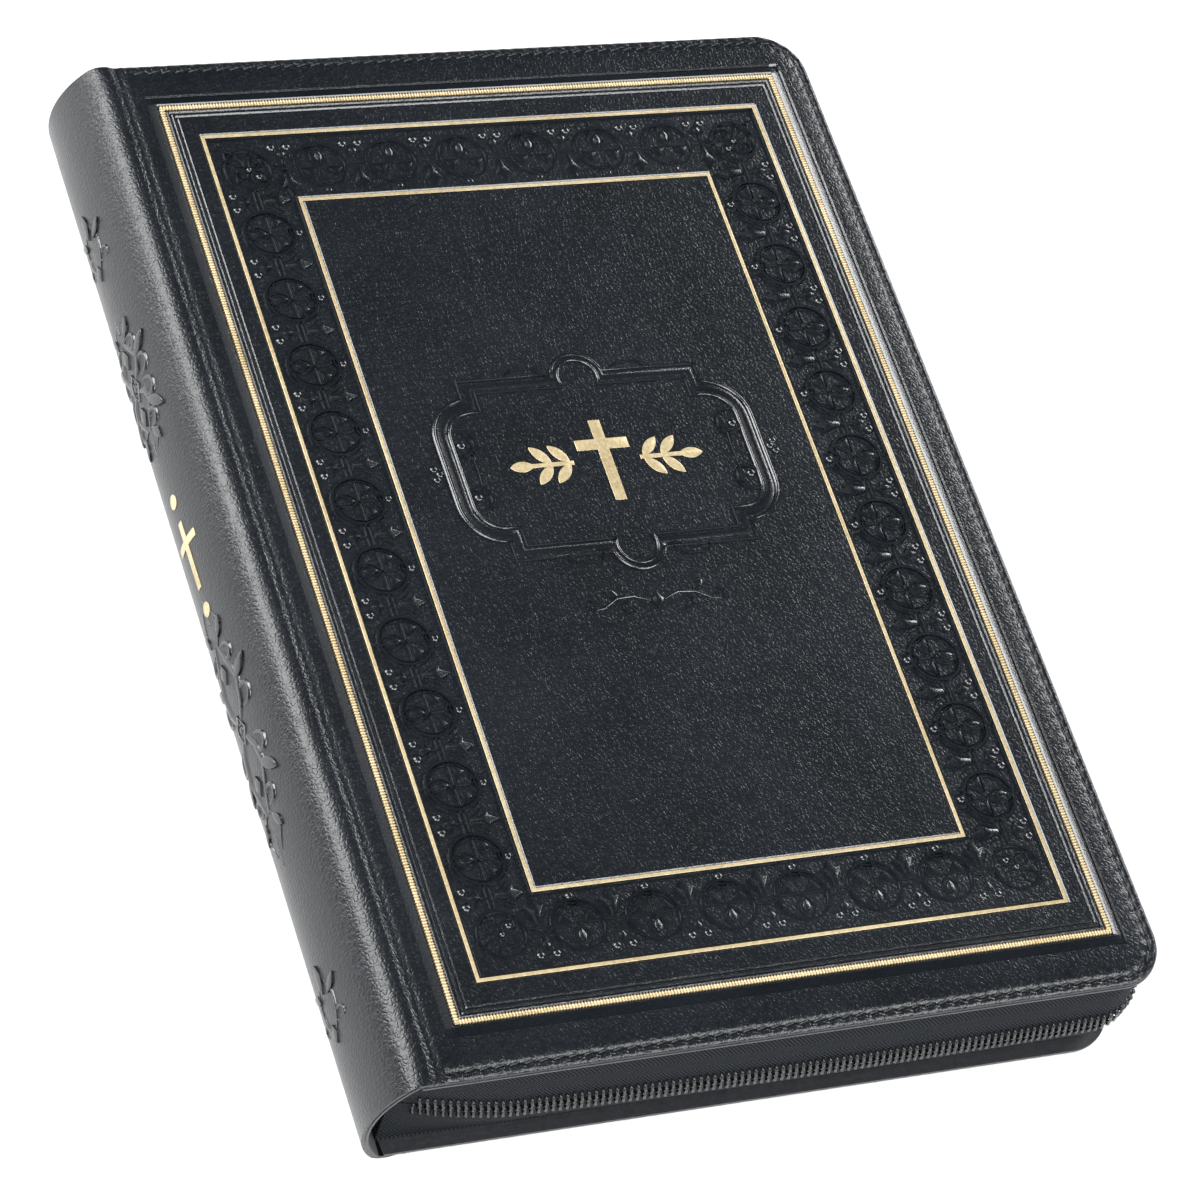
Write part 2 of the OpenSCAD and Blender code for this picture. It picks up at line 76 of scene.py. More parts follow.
class Side(Enum):
    """The two covers, named by the body each one rides on."""

    FRONT = "front_cover"
    BACK = "back_cover"


# ---- the bench: small tools that every piece is made with ----


def choose(*pieces: Piece) -> None:
    """Selects these pieces and nothing else, the first one active.

    Args:
        pieces: The pieces that the next operator works on.
    """
    bpy.ops.object.select_all(action="DESELECT")
    for piece in pieces:
        piece.select_set(True)
    bpy.context.view_layer.objects.active = pieces[0]


def settle(piece: Piece) -> Piece:
    """Moves a piece's place, turn and size into its mesh.

    Args:
        piece: The piece to settle.

    Returns:
        The same piece, now at the origin.
    """
    choose(piece)
    bpy.ops.object.transform_apply(location=True, rotation=True, scale=True)
    return piece


@contextmanager
def edit(piece: Piece) -> Iterator[None]:
    """Opens a piece in edit mode with nothing selected, and closes it afterwards.

    Args:
        piece: The piece to work on.

    Yields:
        Nothing to take hold of: the piece stays open until the block ends.
    """
    choose(piece)
    bpy.ops.object.mode_set(mode="EDIT")
    bpy.ops.mesh.select_all(action="DESELECT")
    try:
        yield
    finally:
        bpy.ops.object.mode_set(mode="OBJECT")


def pick(piece: Piece, part: Part, test: Callable[[Vector], bool]) -> None:
    """Selects in edit mode what has its middle where a test says.

    Args:
        piece: The piece that is open in edit mode.
        part: Vertices, edges or faces.
        test: Says of a middle point whether it is wanted.
    """
    bpy.ops.mesh.select_mode(type=part.value)
    mesh = bmesh.from_edit_mesh(piece.data)
    if part is Part.VERTEX:
        for vertex in mesh.verts:
            vertex.select_set(test(vertex.co))
    elif part is Part.EDGE:
        for edge in mesh.edges:
            edge.select_set(test((edge.verts[0].co + edge.verts[1].co) / 2))
    else:
        for face in mesh.faces:
            face.select_set(test(face.calc_center_median()))
    mesh.select_flush_mode()
    bmesh.update_edit_mesh(piece.data)


def slice_at(axis: int, places: Sequence[float]) -> None:
    """Cuts the mesh that is open in edit mode by planes across one axis.

    Args:
        axis: 0, 1 or 2 for X, Y or Z.
        places: Where each cut goes, in metres.
    """
    normal = tuple(1.0 if i == axis else 0.0 for i in range(3))
    for place in places:
        bpy.ops.mesh.select_all(action="SELECT")
        bpy.ops.mesh.bisect(plane_co=tuple(place * n for n in normal), plane_no=normal)


def reshape(piece: Piece, move: Callable[[Vector], Vector]) -> Piece:
    """Moves every vertex of a piece to where a rule puts it.

    Args:
        piece: The piece to reshape.
        move: Gives a vertex's new place from its old one.

    Returns:
        The same piece.
    """
    for vertex in piece.data.vertices:
        vertex.co = move(vertex.co.copy())
    piece.data.update()
    return piece


def true_normals(piece: Piece) -> Piece:
    """Merges doubles and turns every face outwards.

    Args:
        piece: The piece to mend.

    Returns:
        The same piece.
    """
    with edit(piece):
        bpy.ops.mesh.select_all(action="SELECT")
        bpy.ops.mesh.remove_doubles(threshold=1e-6)
        bpy.ops.mesh.normals_make_consistent(inside=False)
    return piece


def smooth(piece: Piece, degrees: float = 40) -> Piece:
    """Shades a piece smooth, with edges sharper than an angle kept crisp.

    Args:
        piece: The piece to shade.
        degrees: The angle above which an edge stays crisp.

    Returns:
        The same piece.
    """
    choose(piece)
    bpy.ops.object.shade_smooth_by_angle(angle=math.radians(degrees))
    return piece


def apply(piece: Piece, kind: str, **settings: object) -> Piece:
    """Adds a modifier and applies it.

    Args:
        piece: The piece that takes the modifier.
        kind: The modifier's type.
        settings: The modifier's settings by name.

    Returns:
        The same piece.
    """
    choose(piece)
    modifier = piece.modifiers.new(kind.title(), kind)
    for key, value in settings.items():
        setattr(modifier, key, value)
    bpy.ops.object.modifier_apply(modifier=modifier.name)
    return piece


def copy_of(piece: Piece, place: Matrix) -> Piece:
    """Copies a piece with a mesh of its own, laid in a new place.

    Args:
        piece: The piece to copy.
        place: Where the copy goes.

    Returns:
        The copy.
    """
    twin = piece.copy()
    twin.data = piece.data.copy()
    twin.data.transform(place)
    if place.determinant() < 0:
        twin.data.flip_normals()
    bpy.context.scene.collection.objects.link(twin)
    return twin


def join(name: str, pieces: Sequence[Piece]) -> Piece:
    """Joins pieces into one.

    Args:
        name: The name of the joined piece.
        pieces: The pieces, of which the first keeps its object.

    Returns:
        The joined piece.
    """
    choose(*pieces)
    if len(pieces) > 1:
        bpy.ops.object.join()
    whole = bpy.context.view_layer.objects.active
    whole.name = whole.data.name = name
    return whole


def slab(low: Sequence[float], high: Sequence[float]) -> Piece:
    """Adds a block between two corners.

    Args:
        low: The lowest corner, in metres.
        high: The highest corner, in metres.

    Returns:
        The block, at the origin with its place in its mesh.
    """
    middle = [(a + b) / 2 for a, b in zip(low, high)]
    bpy.ops.mesh.primitive_cube_add(size=1, location=middle, scale=[b - a for a, b in zip(low, high)])
    return settle(bpy.context.object)


def plate(outline: Sequence[Flat], floor: float, height: float, slope: float) -> Piece:
    """Raises a low plate with sloping sides over an outline.

    Args:
        outline: The outline, as points in metres, anticlockwise.
        floor: The height of the plate's foot.
        height: How far the plate rises.
        slope: How far its top is set in from its foot.

    Returns:
        The plate.
    """
    bpy.ops.mesh.primitive_circle_add(vertices=len(outline), radius=1, fill_type="NGON")
    piece = bpy.context.object
    for vertex, (x, y) in zip(piece.data.vertices, outline):
        vertex.co = (x, y, floor)
    with edit(piece):
        bpy.ops.mesh.select_all(action="SELECT")
        bpy.ops.mesh.extrude_region_move(TRANSFORM_OT_translate={"value": (0, 0, height)})
        bpy.ops.mesh.inset(thickness=slope, depth=slope / 2)
    return true_normals(piece)


def ridge(
    line: Sequence[Flat],
    floor: float,
    width: float,
    height: float,
    closed: bool = False,
    taper: Callable[[float], float] | None = None,
) -> Piece:
    """Bends a round rod along a line and flattens it into a low ridge.

    Args:
        line: The line that the ridge follows, as points in metres.
        floor: The height that half of the rod stands above.
        width: The ridge's width.
        height: How far it stands above the floor.
        closed: Whether the line closes on itself.
        taper: The rod's thickness along the line, from 0 to 1, as a share of its width.

    Returns:
        The ridge, as a mesh.
    """
    bpy.ops.curve.primitive_nurbs_path_add()
    piece = bpy.context.object
    curve = piece.data
    curve.splines.clear()
    spline = curve.splines.new("POLY")
    spline.points.add(len(line) - 1)
    for i, (x, y) in enumerate(line):
        spline.points[i].co = (x, y, 0, 1)
        spline.points[i].radius = taper(i / (len(line) - 1)) if taper else 1.0
    spline.use_cyclic_u = closed
    curve.dimensions = "3D"
    curve.bevel_depth = width / 2
    curve.bevel_resolution = 1
    curve.use_fill_caps = not closed
    bpy.ops.object.convert(target="MESH")
    piece = bpy.context.object
    piece.data.materials.clear()
    flatten = 2 * height / width
    return reshape(piece, lambda v: Vector((v.x, v.y, floor + v.z * flatten)))


def ball(x: float, y: float, floor: float, radius: float, height: float) -> Piece:
    """Sets a low round boss on a floor.

    Args:
        x: Its middle along X, in metres.
        y: Its middle along Y.
        floor: The height of its middle.
        radius: Its radius in plan.
        height: How far it stands above the floor.

    Returns:
        The boss.
    """
    bpy.ops.mesh.primitive_ico_sphere_add(subdivisions=2, radius=radius, location=(x, y, floor))
    piece = bpy.context.object
    with edit(piece):
        bpy.ops.mesh.select_all(action="SELECT")
        bpy.ops.transform.resize(value=(1, 1, height / radius))
    return settle(piece)


def arc(x: float, y: float, radius: float, start: float, end: float, steps: int) -> list[Flat]:
    """Gives points along an arc.

    Args:
        x: The arc's centre along X, in metres.
        y: The arc's centre along Y.
        radius: Its radius.
        start: Where it starts, in degrees from +X.
        end: Where it ends.
        steps: How many steps it takes.

    Returns:
        The points, both ends included.
    """
    angles = [math.radians(start + (end - start) * i / steps) for i in range(steps + 1)]
    return [(x + radius * math.cos(a), y + radius * math.sin(a)) for a in angles]


def scroll(x: float, y: float, radius: float, start: float, sweep: float, tight: float = 0.2) -> list[Flat]:
    """Gives points along a scroll that winds inwards.

    Args:
        x: The scroll's centre along X, in metres.
        y: The scroll's centre along Y.
        radius: Its radius at the outer end.
        start: Where the outer end lies, in degrees from +X.
        sweep: How far it winds, in degrees.
        tight: The inner end's radius as a share of the outer one.

    Returns:
        The points from the outer end to the inner.
    """
    steps = max(8, int(abs(sweep) / 18))
    line = []
    for i in range(steps + 1):
        share = i / steps
        angle = math.radians(start + sweep * share)
        reach = radius * (1 + (tight - 1) * share)
        line.append((x + reach * math.cos(angle), y + reach * math.sin(angle)))
    return line


def almond(length: float, width: float, steps: int = 8) -> list[Flat]:
    """Gives the outline of a pointed leaf that grows along +Y from the origin.

    Args:
        length: The leaf's length.
        width: Its width.
        steps: Steps along each side.

    Returns:
        The outline, anticlockwise.
    """
    right = [(width / 2 * math.sin(math.pi * i / steps) ** 0.9, length * i / steps) for i in range(steps)]
    left = [
        (-width / 2 * math.sin(math.pi * i / steps) ** 0.9, length * i / steps) for i in range(steps, 0, -1)
    ]
    return right + left


def turned(line: Sequence[Flat], degrees: float, x: float = 0, y: float = 0) -> list[Flat]:
    """Turns a line about the origin, then moves it.

    Args:
        line: The points to turn.
        degrees: The angle, anticlockwise.
        x: The move along X.
        y: The move along Y.

    Returns:
        The turned points.
    """
    c, s = math.cos(math.radians(degrees)), math.sin(math.radians(degrees))
    return [(px * c - py * s + x, px * s + py * c + y) for px, py in line]


def hand_over(
    piece: Piece, body: str, finish: bpy.types.Material, stands_for: Sequence[str] = ()
) -> Piece:
    """Dresses a piece and lets it ride on its body.

    Args:
        piece: The finished piece.
        body: The body that carries it.
        finish: Its material.
        stands_for: The frame's nodes that it takes the place of.

    Returns:
        The same piece.
    """
    piece.data.materials.clear()
    piece.data.materials.append(finish)
    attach(piece, body)
    if stands_for:
        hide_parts(*stands_for)
    LOG.info("%s: %d faces, rides on %s", piece.name, len(piece.data.polygons), body)
    return piece


def softened(node: str, name: str, width: float, segments: int = 2) -> Piece:
    """Copies one of the frame's nodes and rounds its edges.

    Args:
        node: The node to copy.
        name: The new piece's name.
        width: The width of the rounding.
        segments: Steps in the rounding.

    Returns:
        The rounded copy.
    """
    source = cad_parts[node]
    piece = bpy.data.objects.new(name, source.data.copy())
    bpy.context.scene.collection.objects.link(piece)
    true_normals(piece)
    with edit(piece):
        bpy.ops.mesh.select_all(action="SELECT")
        bpy.ops.mesh.dissolve_limited(angle_limit=math.radians(1))
    apply(piece, "BEVEL", width=width, segments=segments, limit_method="ANGLE", angle_limit=math.radians(35))
    return smooth(piece, 50)


# ---- finishes ----


class NodeDesk:
    """Lays out one material's nodes."""

    def __init__(self, name: str) -> None:
        """Starts a material with an empty shader.

        Args:
            name: The material's name.
        """
        self.material = bpy.data.materials.new(name)
        self.material.use_nodes = True
        self.tree = self.material.node_tree
        self.shader = self.tree.nodes["Principled BSDF"]

    def node(
        self, kind: str, inputs: dict[str | int, object] | None = None, **settings: object
    ) -> bpy.types.Node:
        """Adds a node.

        Args:
            kind: The node's kind, without its ShaderNode prefix.
            inputs: What each input takes: a socket to link, or a plain value.
            settings: The node's own settings.

        Returns:
            The node.
        """
        made = self.tree.nodes.new(f"ShaderNode{kind}")
        for key, value in settings.items():
            setattr(made, key, value)
        for key, value in (inputs or {}).items():
            if isinstance(value, Socket):
                self.tree.links.new(value, made.inputs[key])
            else:
                made.inputs[key].default_value = value
        return made

    def place(self, stretch: Sequence[float] = (1, 1, 1)) -> Socket:
        """Gives the place on the book, in metres, stretched along each axis."""
        source = self.node("TexCoord").outputs["Object"]
        return self.node("Mapping", {"Vector": source, "Scale": tuple(stretch)}).outputs["Vector"]

    def uv(self, axis: str) -> Socket:
        """Gives the piece's own U or V, in millimetres."""
        source = self.node("UVMap", uv_map="Cloth").outputs["UV"]
        return self.node("SeparateXYZ", {"Vector": source}).outputs[axis]

    def maths(self, operation: str, *values: object) -> Socket:
        """Works a sum on up to three values."""
        return self.node("Math", dict(enumerate(values)), operation=operation).outputs["Value"]

    def noise(self, where: Socket, scale: float, detail: float = 3) -> Socket:
        """Gives soft random noise, about 0.5 on average."""
        return self.node("TexNoise", {"Vector": where, "Scale": scale, "Detail": detail}).outputs["Fac"]

    def creases(self, where: Socket, scale: float, width: float) -> Socket:
        """Gives flat-topped pebbles: 1 on their tops and 0 in the creases between them.

        Args:
            where: The place to look the pebbles up at.
            scale: Pebbles to the metre.
            width: How wide the creases are, as a share of a pebble.

        Returns:
            The height.
        """
        cells = self.node("TexVoronoi", {"Vector": where, "Scale": scale}, feature="DISTANCE_TO_EDGE")
        span = self.node(
            "MapRange",
            {"Value": cells.outputs["Distance"], "From Max": width},
            interpolation_type="SMOOTHSTEP",
        )
        return span.outputs["Result"]

    def ramp(self, value: Socket, low: Colour, high: Colour, start: float = 0, end: float = 1) -> Socket:
        """Runs from one colour to another as a value rises from start to end.

        Args:
            value: The value that rises.
            low: The colour at the start.
            high: The colour at the end.
            start: The value where the change starts.
            end: The value where it ends.

        Returns:
            The colour.
        """
        ramp = self.node("ValToRGB", {"Fac": value})
        ramp.color_ramp.elements[0].position, ramp.color_ramp.elements[0].color = start, low
        ramp.color_ramp.elements[1].position, ramp.color_ramp.elements[1].color = end, high
        return ramp.outputs["Color"]

    def between(self, value: Socket, low: float, high: float) -> Socket:
        """Scales a value of 0 to 1 to run from low to high."""
        return self.node("MapRange", {"Value": value, "To Min": low, "To Max": high}).outputs["Result"]

    def bump(self, height: Socket, depth: float, under: Socket | None = None) -> Socket:
        """Turns a height of 0 to 1 into bumps of a real depth in metres, over an earlier bump.

        Args:
            height: The height, from 0 to 1.
            depth: How deep the bumps are, in metres.
            under: An earlier bump that lies beneath.

        Returns:
            The bumped normal.
        """
        inputs: dict[str | int, object] = {"Height": height, "Distance": depth, "Strength": 1.0}
        if under is not None:
            inputs["Normal"] = under
        return self.node("Bump", inputs).outputs["Normal"]

    def dress(self, colour: Socket, roughness: Socket, normal: Socket, **fixed: float) -> bpy.types.Material:
        """Wires up the shader.

        Args:
            colour: The base colour.
            roughness: The roughness.
            normal: The bumped normal.
            fixed: Plain values for the shader's other sockets, with underscores for spaces.

        Returns:
            The finished material.
        """
        for key, source in (("Base Color", colour), ("Roughness", roughness), ("Normal", normal)):
            self.tree.links.new(source, self.shader.inputs[key])
        for key, value in fixed.items():
            self.shader.inputs[key.replace("_", " ")].default_value = value
        return self.material


@dataclass(frozen=True)
class Leather:
    """Black faux leather with a fine pebble grain and a satin face."""

    name: str = "black pebbled leather"
    low: Colour = (0.0008, 0.0016, 0.0028, 1)
    high: Colour = (0.0035, 0.0062, 0.0096, 1)
    grain: float = 980
    depth: float = 0.00004
    shine: float = 0.26
    dull: float = 0.38
    gleam: float = 0.6

    def build(self) -> bpy.types.Material:
        """Builds the material.

        Returns:
            The finished material.
        """
        desk = NodeDesk(self.name)
        where = desk.place()
        warp = desk.node("TexNoise", {"Vector": where, "Scale": 260.0, "Detail": 2.0}).outputs["Color"]
        bent = desk.node(
            "VectorMath", {0: warp, 1: (0.0012, 0.0012, 0.0012)}, operation="MULTIPLY"
        ).outputs["Vector"]
        bent = desk.node("VectorMath", {0: where, 1: bent}, operation="ADD").outputs["Vector"]
        pebbles = desk.creases(bent, self.grain, 0.3)
        fine = desk.creases(bent, self.grain * 2.1, 0.35)
        pores = desk.noise(where, self.grain * 4, 2)
        height = desk.maths("MULTIPLY_ADD", fine, 0.3, pebbles)
        height = desk.maths("MULTIPLY_ADD", pores, 0.25, height)
        hide = desk.noise(where, 38, 4)
        wrinkles = desk.noise(desk.place((1, 0.35, 1)), 240, 5)
        soft = desk.bump(hide, self.depth * 4)
        normal = desk.bump(height, self.depth, desk.bump(wrinkles, self.depth * 1.6, soft))
        tone = desk.maths("MULTIPLY_ADD", pebbles, 0.45, desk.maths("MULTIPLY", hide, 0.8))
        rough = desk.between(
            desk.maths("MULTIPLY_ADD", pores, 0.5, desk.maths("MULTIPLY", hide, 0.6)), self.shine, self.dull
        )
        return desk.dress(
            desk.ramp(tone, self.low, self.high, 0.2, 0.9), rough, normal, Specular_IOR_Level=self.gleam
        )


@dataclass(frozen=True)
class Cloth:
    """A plain woven cloth, seen on the place on the book."""

    name: str
    low: Colour
    high: Colour
    pitch: float = 0.0006
    depth: float = 0.00004
    dull: float = 0.9

    def build(self) -> bpy.types.Material:
        """Builds the material.

        Returns:
            The finished material.
        """
        desk = NodeDesk(self.name)
        axes = desk.node("SeparateXYZ", {"Vector": desk.place((TURN / self.pitch,) * 3)})
        waves = [desk.maths("SINE", axes.outputs[a]) for a in "XYZ"]
        weave = desk.maths("ABSOLUTE", desk.maths("ADD", desk.maths("ADD", waves[0], waves[1]), waves[2]))
        weave = desk.maths("DIVIDE", weave, 3.0)
        fuzz = desk.noise(desk.place(), 900, 4)
        tone = desk.maths("MULTIPLY_ADD", weave, 0.4, desk.maths("MULTIPLY", fuzz, 0.7))
        rough = desk.between(fuzz, self.dull - 0.12, self.dull)
        normal = desk.bump(tone, self.depth)
        return desk.dress(desk.ramp(tone, self.low, self.high, 0.2, 0.8), rough, normal, Sheen_Weight=0.15)


@dataclass(frozen=True)
class ZipTape:
    """Charcoal zip tape in a herringbone weave that follows the tape round the book."""

    name: str = "charcoal herringbone tape"
    low: Colour = (0.0008, 0.0012, 0.0018, 1)
    high: Colour = (0.022, 0.026, 0.032, 1)
    rib: float = 2.6
    pick: float = 0.9

    def build(self) -> bpy.types.Material:
        """Builds the material.

        Returns:
            The finished material.
        """
        desk = NodeDesk(self.name)
        along, across = desk.uv("X"), desk.uv("Y")
        zigzag = desk.maths("PINGPONG", across, self.rib)
        slant = desk.maths("ADD", along, desk.maths("MULTIPLY", zigzag, 1.15))
        twill = desk.maths("SINE", desk.maths("MULTIPLY", slant, TURN / self.pick))
        twill = desk.maths("MULTIPLY_ADD", twill, 0.5, 0.5)
        threads = desk.maths("SINE", desk.maths("MULTIPLY", across, TURN / 0.34))
        height = desk.maths("MULTIPLY_ADD", threads, 0.12, twill)
        fuzz = desk.noise(desk.place(), 1500, 3)
        tone = desk.maths("MULTIPLY_ADD", height, 0.75, desk.maths("MULTIPLY", fuzz, 0.35))
        normal = desk.bump(height, 0.00016, desk.bump(fuzz, 0.00003))
        rough = desk.between(fuzz, 0.6, 0.85)
        return desk.dress(
            desk.ramp(tone, self.low, self.high, 0.15, 0.95), rough, normal, Specular_IOR_Level=0.15
        )


@dataclass(frozen=True)
class Plain:
    """A moulded, polished, painted or spun finish with fine marks and uneven gloss."""

    name: str
    low: Colour
    high: Colour
    shine: float
    dull: float
    scale: float = 900
    depth: float = 0.00001
    stretch: tuple[float, float, float] = (1, 1, 1)
    metal: float = 0

    def build(self) -> bpy.types.Material:
        """Builds the material.

        Returns:
            The finished material.
        """
        desk = NodeDesk(self.name)
        where = desk.place(self.stretch)
        marks = desk.noise(where, self.scale, 5)
        broad = desk.noise(desk.place(), 55, 3)
        tone = desk.maths("MULTIPLY_ADD", marks, 0.55, desk.maths("MULTIPLY", broad, 0.45))
        rough = desk.between(tone, self.shine, self.dull)
        normal = desk.bump(marks, self.depth)
        return desk.dress(desk.ramp(tone, self.low, self.high, 0.3, 0.7), rough, normal, Metallic=self.metal)


@dataclass(frozen=True)
class Thread:
    """Twisted sewing thread with two plies that wind round it."""

    name: str
    low: Colour
    high: Colour
    twist: float = 0.0011

    def build(self) -> bpy.types.Material:
        """Builds the material.

        Returns:
            The finished material.
        """
        desk = NodeDesk(self.name)
        axes = desk.node("SeparateXYZ", {"Vector": desk.place((TURN / self.twist,) * 3)})
        lean = desk.maths("ADD", desk.maths("ADD", axes.outputs["X"], axes.outputs["Y"]), axes.outputs["Z"])
        ply = desk.maths("MULTIPLY_ADD", desk.maths("SINE", lean), 0.5, 0.5)
        fuzz = desk.noise(desk.place(), 2600, 3)
        tone = desk.maths("MULTIPLY_ADD", ply, 0.6, desk.maths("MULTIPLY", fuzz, 0.4))
        rough = desk.between(fuzz, 0.32, 0.6)
        return desk.dress(
            desk.ramp(tone, self.low, self.high, 0.1, 0.9),
            rough,
            desk.bump(tone, 0.00006),
            Specular_IOR_Level=0.5,
        )


@dataclass(frozen=True)
class PageEdges:
    """Thin pages pressed together: fine lines round the sides under gilt, and plain paper on top."""

    name: str = "gilt page edges"

    def build(self) -> bpy.types.Material:
        """Builds the material.

        Returns:
            The finished material.
        """
        desk = NodeDesk(self.name)
        lines = desk.noise(desk.place((4, 4, 5200)), 1, 4)
        patches = desk.noise(desk.place((6, 6, 60)), 6, 3)
        facing = desk.node(
            "SeparateXYZ", {"Vector": desk.node("NewGeometry").outputs["True Normal"]}
        ).outputs["Z"]
        flat = desk.maths("GREATER_THAN", desk.maths("ABSOLUTE", facing), 0.5)
        gilt = desk.ramp(lines, (0.34, 0.24, 0.08, 1), (0.86, 0.68, 0.32, 1), 0.3, 0.7)
        paper = desk.ramp(
            desk.noise(desk.place(), 420, 5), (0.70, 0.64, 0.50, 1), (0.80, 0.75, 0.62, 1), 0.3, 0.7
        )
        mix = desk.node("Mix", {0: flat, 6: gilt, 7: paper}, data_type="RGBA").outputs[2]
        shine = desk.between(
            desk.maths("MULTIPLY_ADD", lines, 0.5, desk.maths("MULTIPLY", patches, 0.5)), 0.24, 0.5
        )
        rough = desk.maths("MAXIMUM", shine, desk.maths("MULTIPLY", flat, 0.85))
        metal = desk.maths("MULTIPLY", desk.maths("SUBTRACT", 1.0, flat), 0.85)
        desk.tree.links.new(metal, desk.shader.inputs["Metallic"])
        return desk.dress(mix, rough, desk.bump(lines, 0.00012))


def finishes() -> dict[str, bpy.types.Material]:
    """Builds every finish once.

    Returns:
        The materials by a short name.
    """
    return {
        "leather": Leather().build(),
        "pressed": Leather(
            "pressed black leather", grain=1300, depth=0.000012, shine=0.2, dull=0.3, gleam=1.0
        ).build(),
        "backing": Cloth(
            "grey backing cloth", (0.006, 0.007, 0.009, 1), (0.030, 0.033, 0.038, 1), dull=0.6
        ).build(),
        "board": Plain(
            "grey board", (0.24, 0.21, 0.17, 1), (0.40, 0.36, 0.30, 1), 0.8, 0.95, 700, 0.00005
        ).build(),
        "lining": Cloth("black lining", (0.006, 0.006, 0.008, 1), (0.026, 0.026, 0.030, 1), 0.0008).build(),
        "endpaper": Plain(
            "dark endpaper", (0.016, 0.017, 0.020, 1), (0.034, 0.036, 0.040, 1), 0.6, 0.85, 1300, 0.00003
        ).build(),
        "thread": Thread("black thread", (0.004, 0.005, 0.006, 1), (0.026, 0.029, 0.034, 1)).build(),
        "tape": ZipTape().build(),
        "coil": Plain(
            "black nylon coil", (0.004, 0.004, 0.005, 1), (0.014, 0.015, 0.017, 1), 0.16, 0.34, 1400, 0.00001
        ).build(),
        "metal": Plain(
            "dark nickel", (0.09, 0.09, 0.10, 1), (0.17, 0.17, 0.18, 1), 0.2, 0.42, 260,
            stretch=(1, 12, 12), metal=1,
        ).build(),
        "foil": Plain(
            "pale gold foil", (0.42, 0.32, 0.16, 1), (0.74, 0.62, 0.40, 1), 0.26, 0.46, 1500, 0.00004,
            metal=0.45,
        ).build(),
        "pages": PageEdges().build(),
        "leaf": Plain(
            "cream paper", (0.74, 0.70, 0.60, 1), (0.84, 0.81, 0.72, 1), 0.75, 0.92, 1100, 0.00002
        ).build(),
        "mull": Cloth("mull gauze", (0.42, 0.40, 0.34, 1), (0.74, 0.71, 0.62, 1), 0.0011, 0.00012).build(),
        "band": Thread("gold and cream band", (0.42, 0.31, 0.12, 1), (0.86, 0.80, 0.64, 1), 0.0026).build(),
        "ribbon": Cloth(
            "black satin ribbon", (0.006, 0.006, 0.008, 1), (0.05, 0.05, 0.056, 1), 0.00045, 0.00002, 0.45
        ).build(),
        "floor": Plain(
            "white sweep", (0.86, 0.86, 0.86, 1), (0.90, 0.90, 0.90, 1), 0.7, 0.85, 40, 0.00002
        ).build(),
    }


# ---- datum and the track round the edge ----


@dataclass(frozen=True)
class Datum:
    """The frame's own measures, in metres, from which every piece is placed."""

    fold_x: float
    edge_x: float
    mid_y: float
    half_h: float
    top: float
    gold_x: float
    corner: float = 10.5 * MM
    spine_r: float = 22 * MM
    skin: float = 0.9 * MM

    @classmethod
    def of_frame(cls) -> "Datum":
        """Reads the measures from the frame's boxes.

        Returns:
            The measures.
        """
        low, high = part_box("front_skin")
        gold_low, gold_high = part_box("gold_frames")
        return cls(low[0] - 0.8 * MM, high[0], (low[1] + high[1]) / 2, (high[1] - low[1]) / 2, high[2],
                   (gold_low[0] + gold_high[0]) / 2)

    @property
    def mid_z(self) -> float:
        """The height of the book's middle."""
        return self.top / 2

    @property
    def spine_x(self) -> float:
        """The spine arc's centre along X."""
        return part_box("spine_skin")[0][0] + self.spine_r

    def lay(self, piece: Piece, side: Side) -> Piece:
        """Moves a piece drawn about the gold frame's middle to its place on a cover.

        Args:
            piece: The piece, drawn with its Z from the cover's face and its X from the gold frame's middle.
            side: The cover that it belongs to.

        Returns:
            The same piece.
        """
        reshape(piece, lambda v: Vector((v.x + self.gold_x, v.y + self.mid_y, v.z + self.top)))
        return self.turn_over(piece) if side is Side.BACK else piece

    def turn_over(self, piece: Piece) -> Piece:
        """Mirrors a piece made for the front cover onto the back cover.

        Args:
            piece: The piece to mirror.

        Returns:
            The same piece.
        """
        piece.data.transform(Matrix.Translation((0, 0, self.top)) @ Matrix.Scale(-1, 4, (0, 0, 1)))
        piece.data.flip_normals()
        return piece


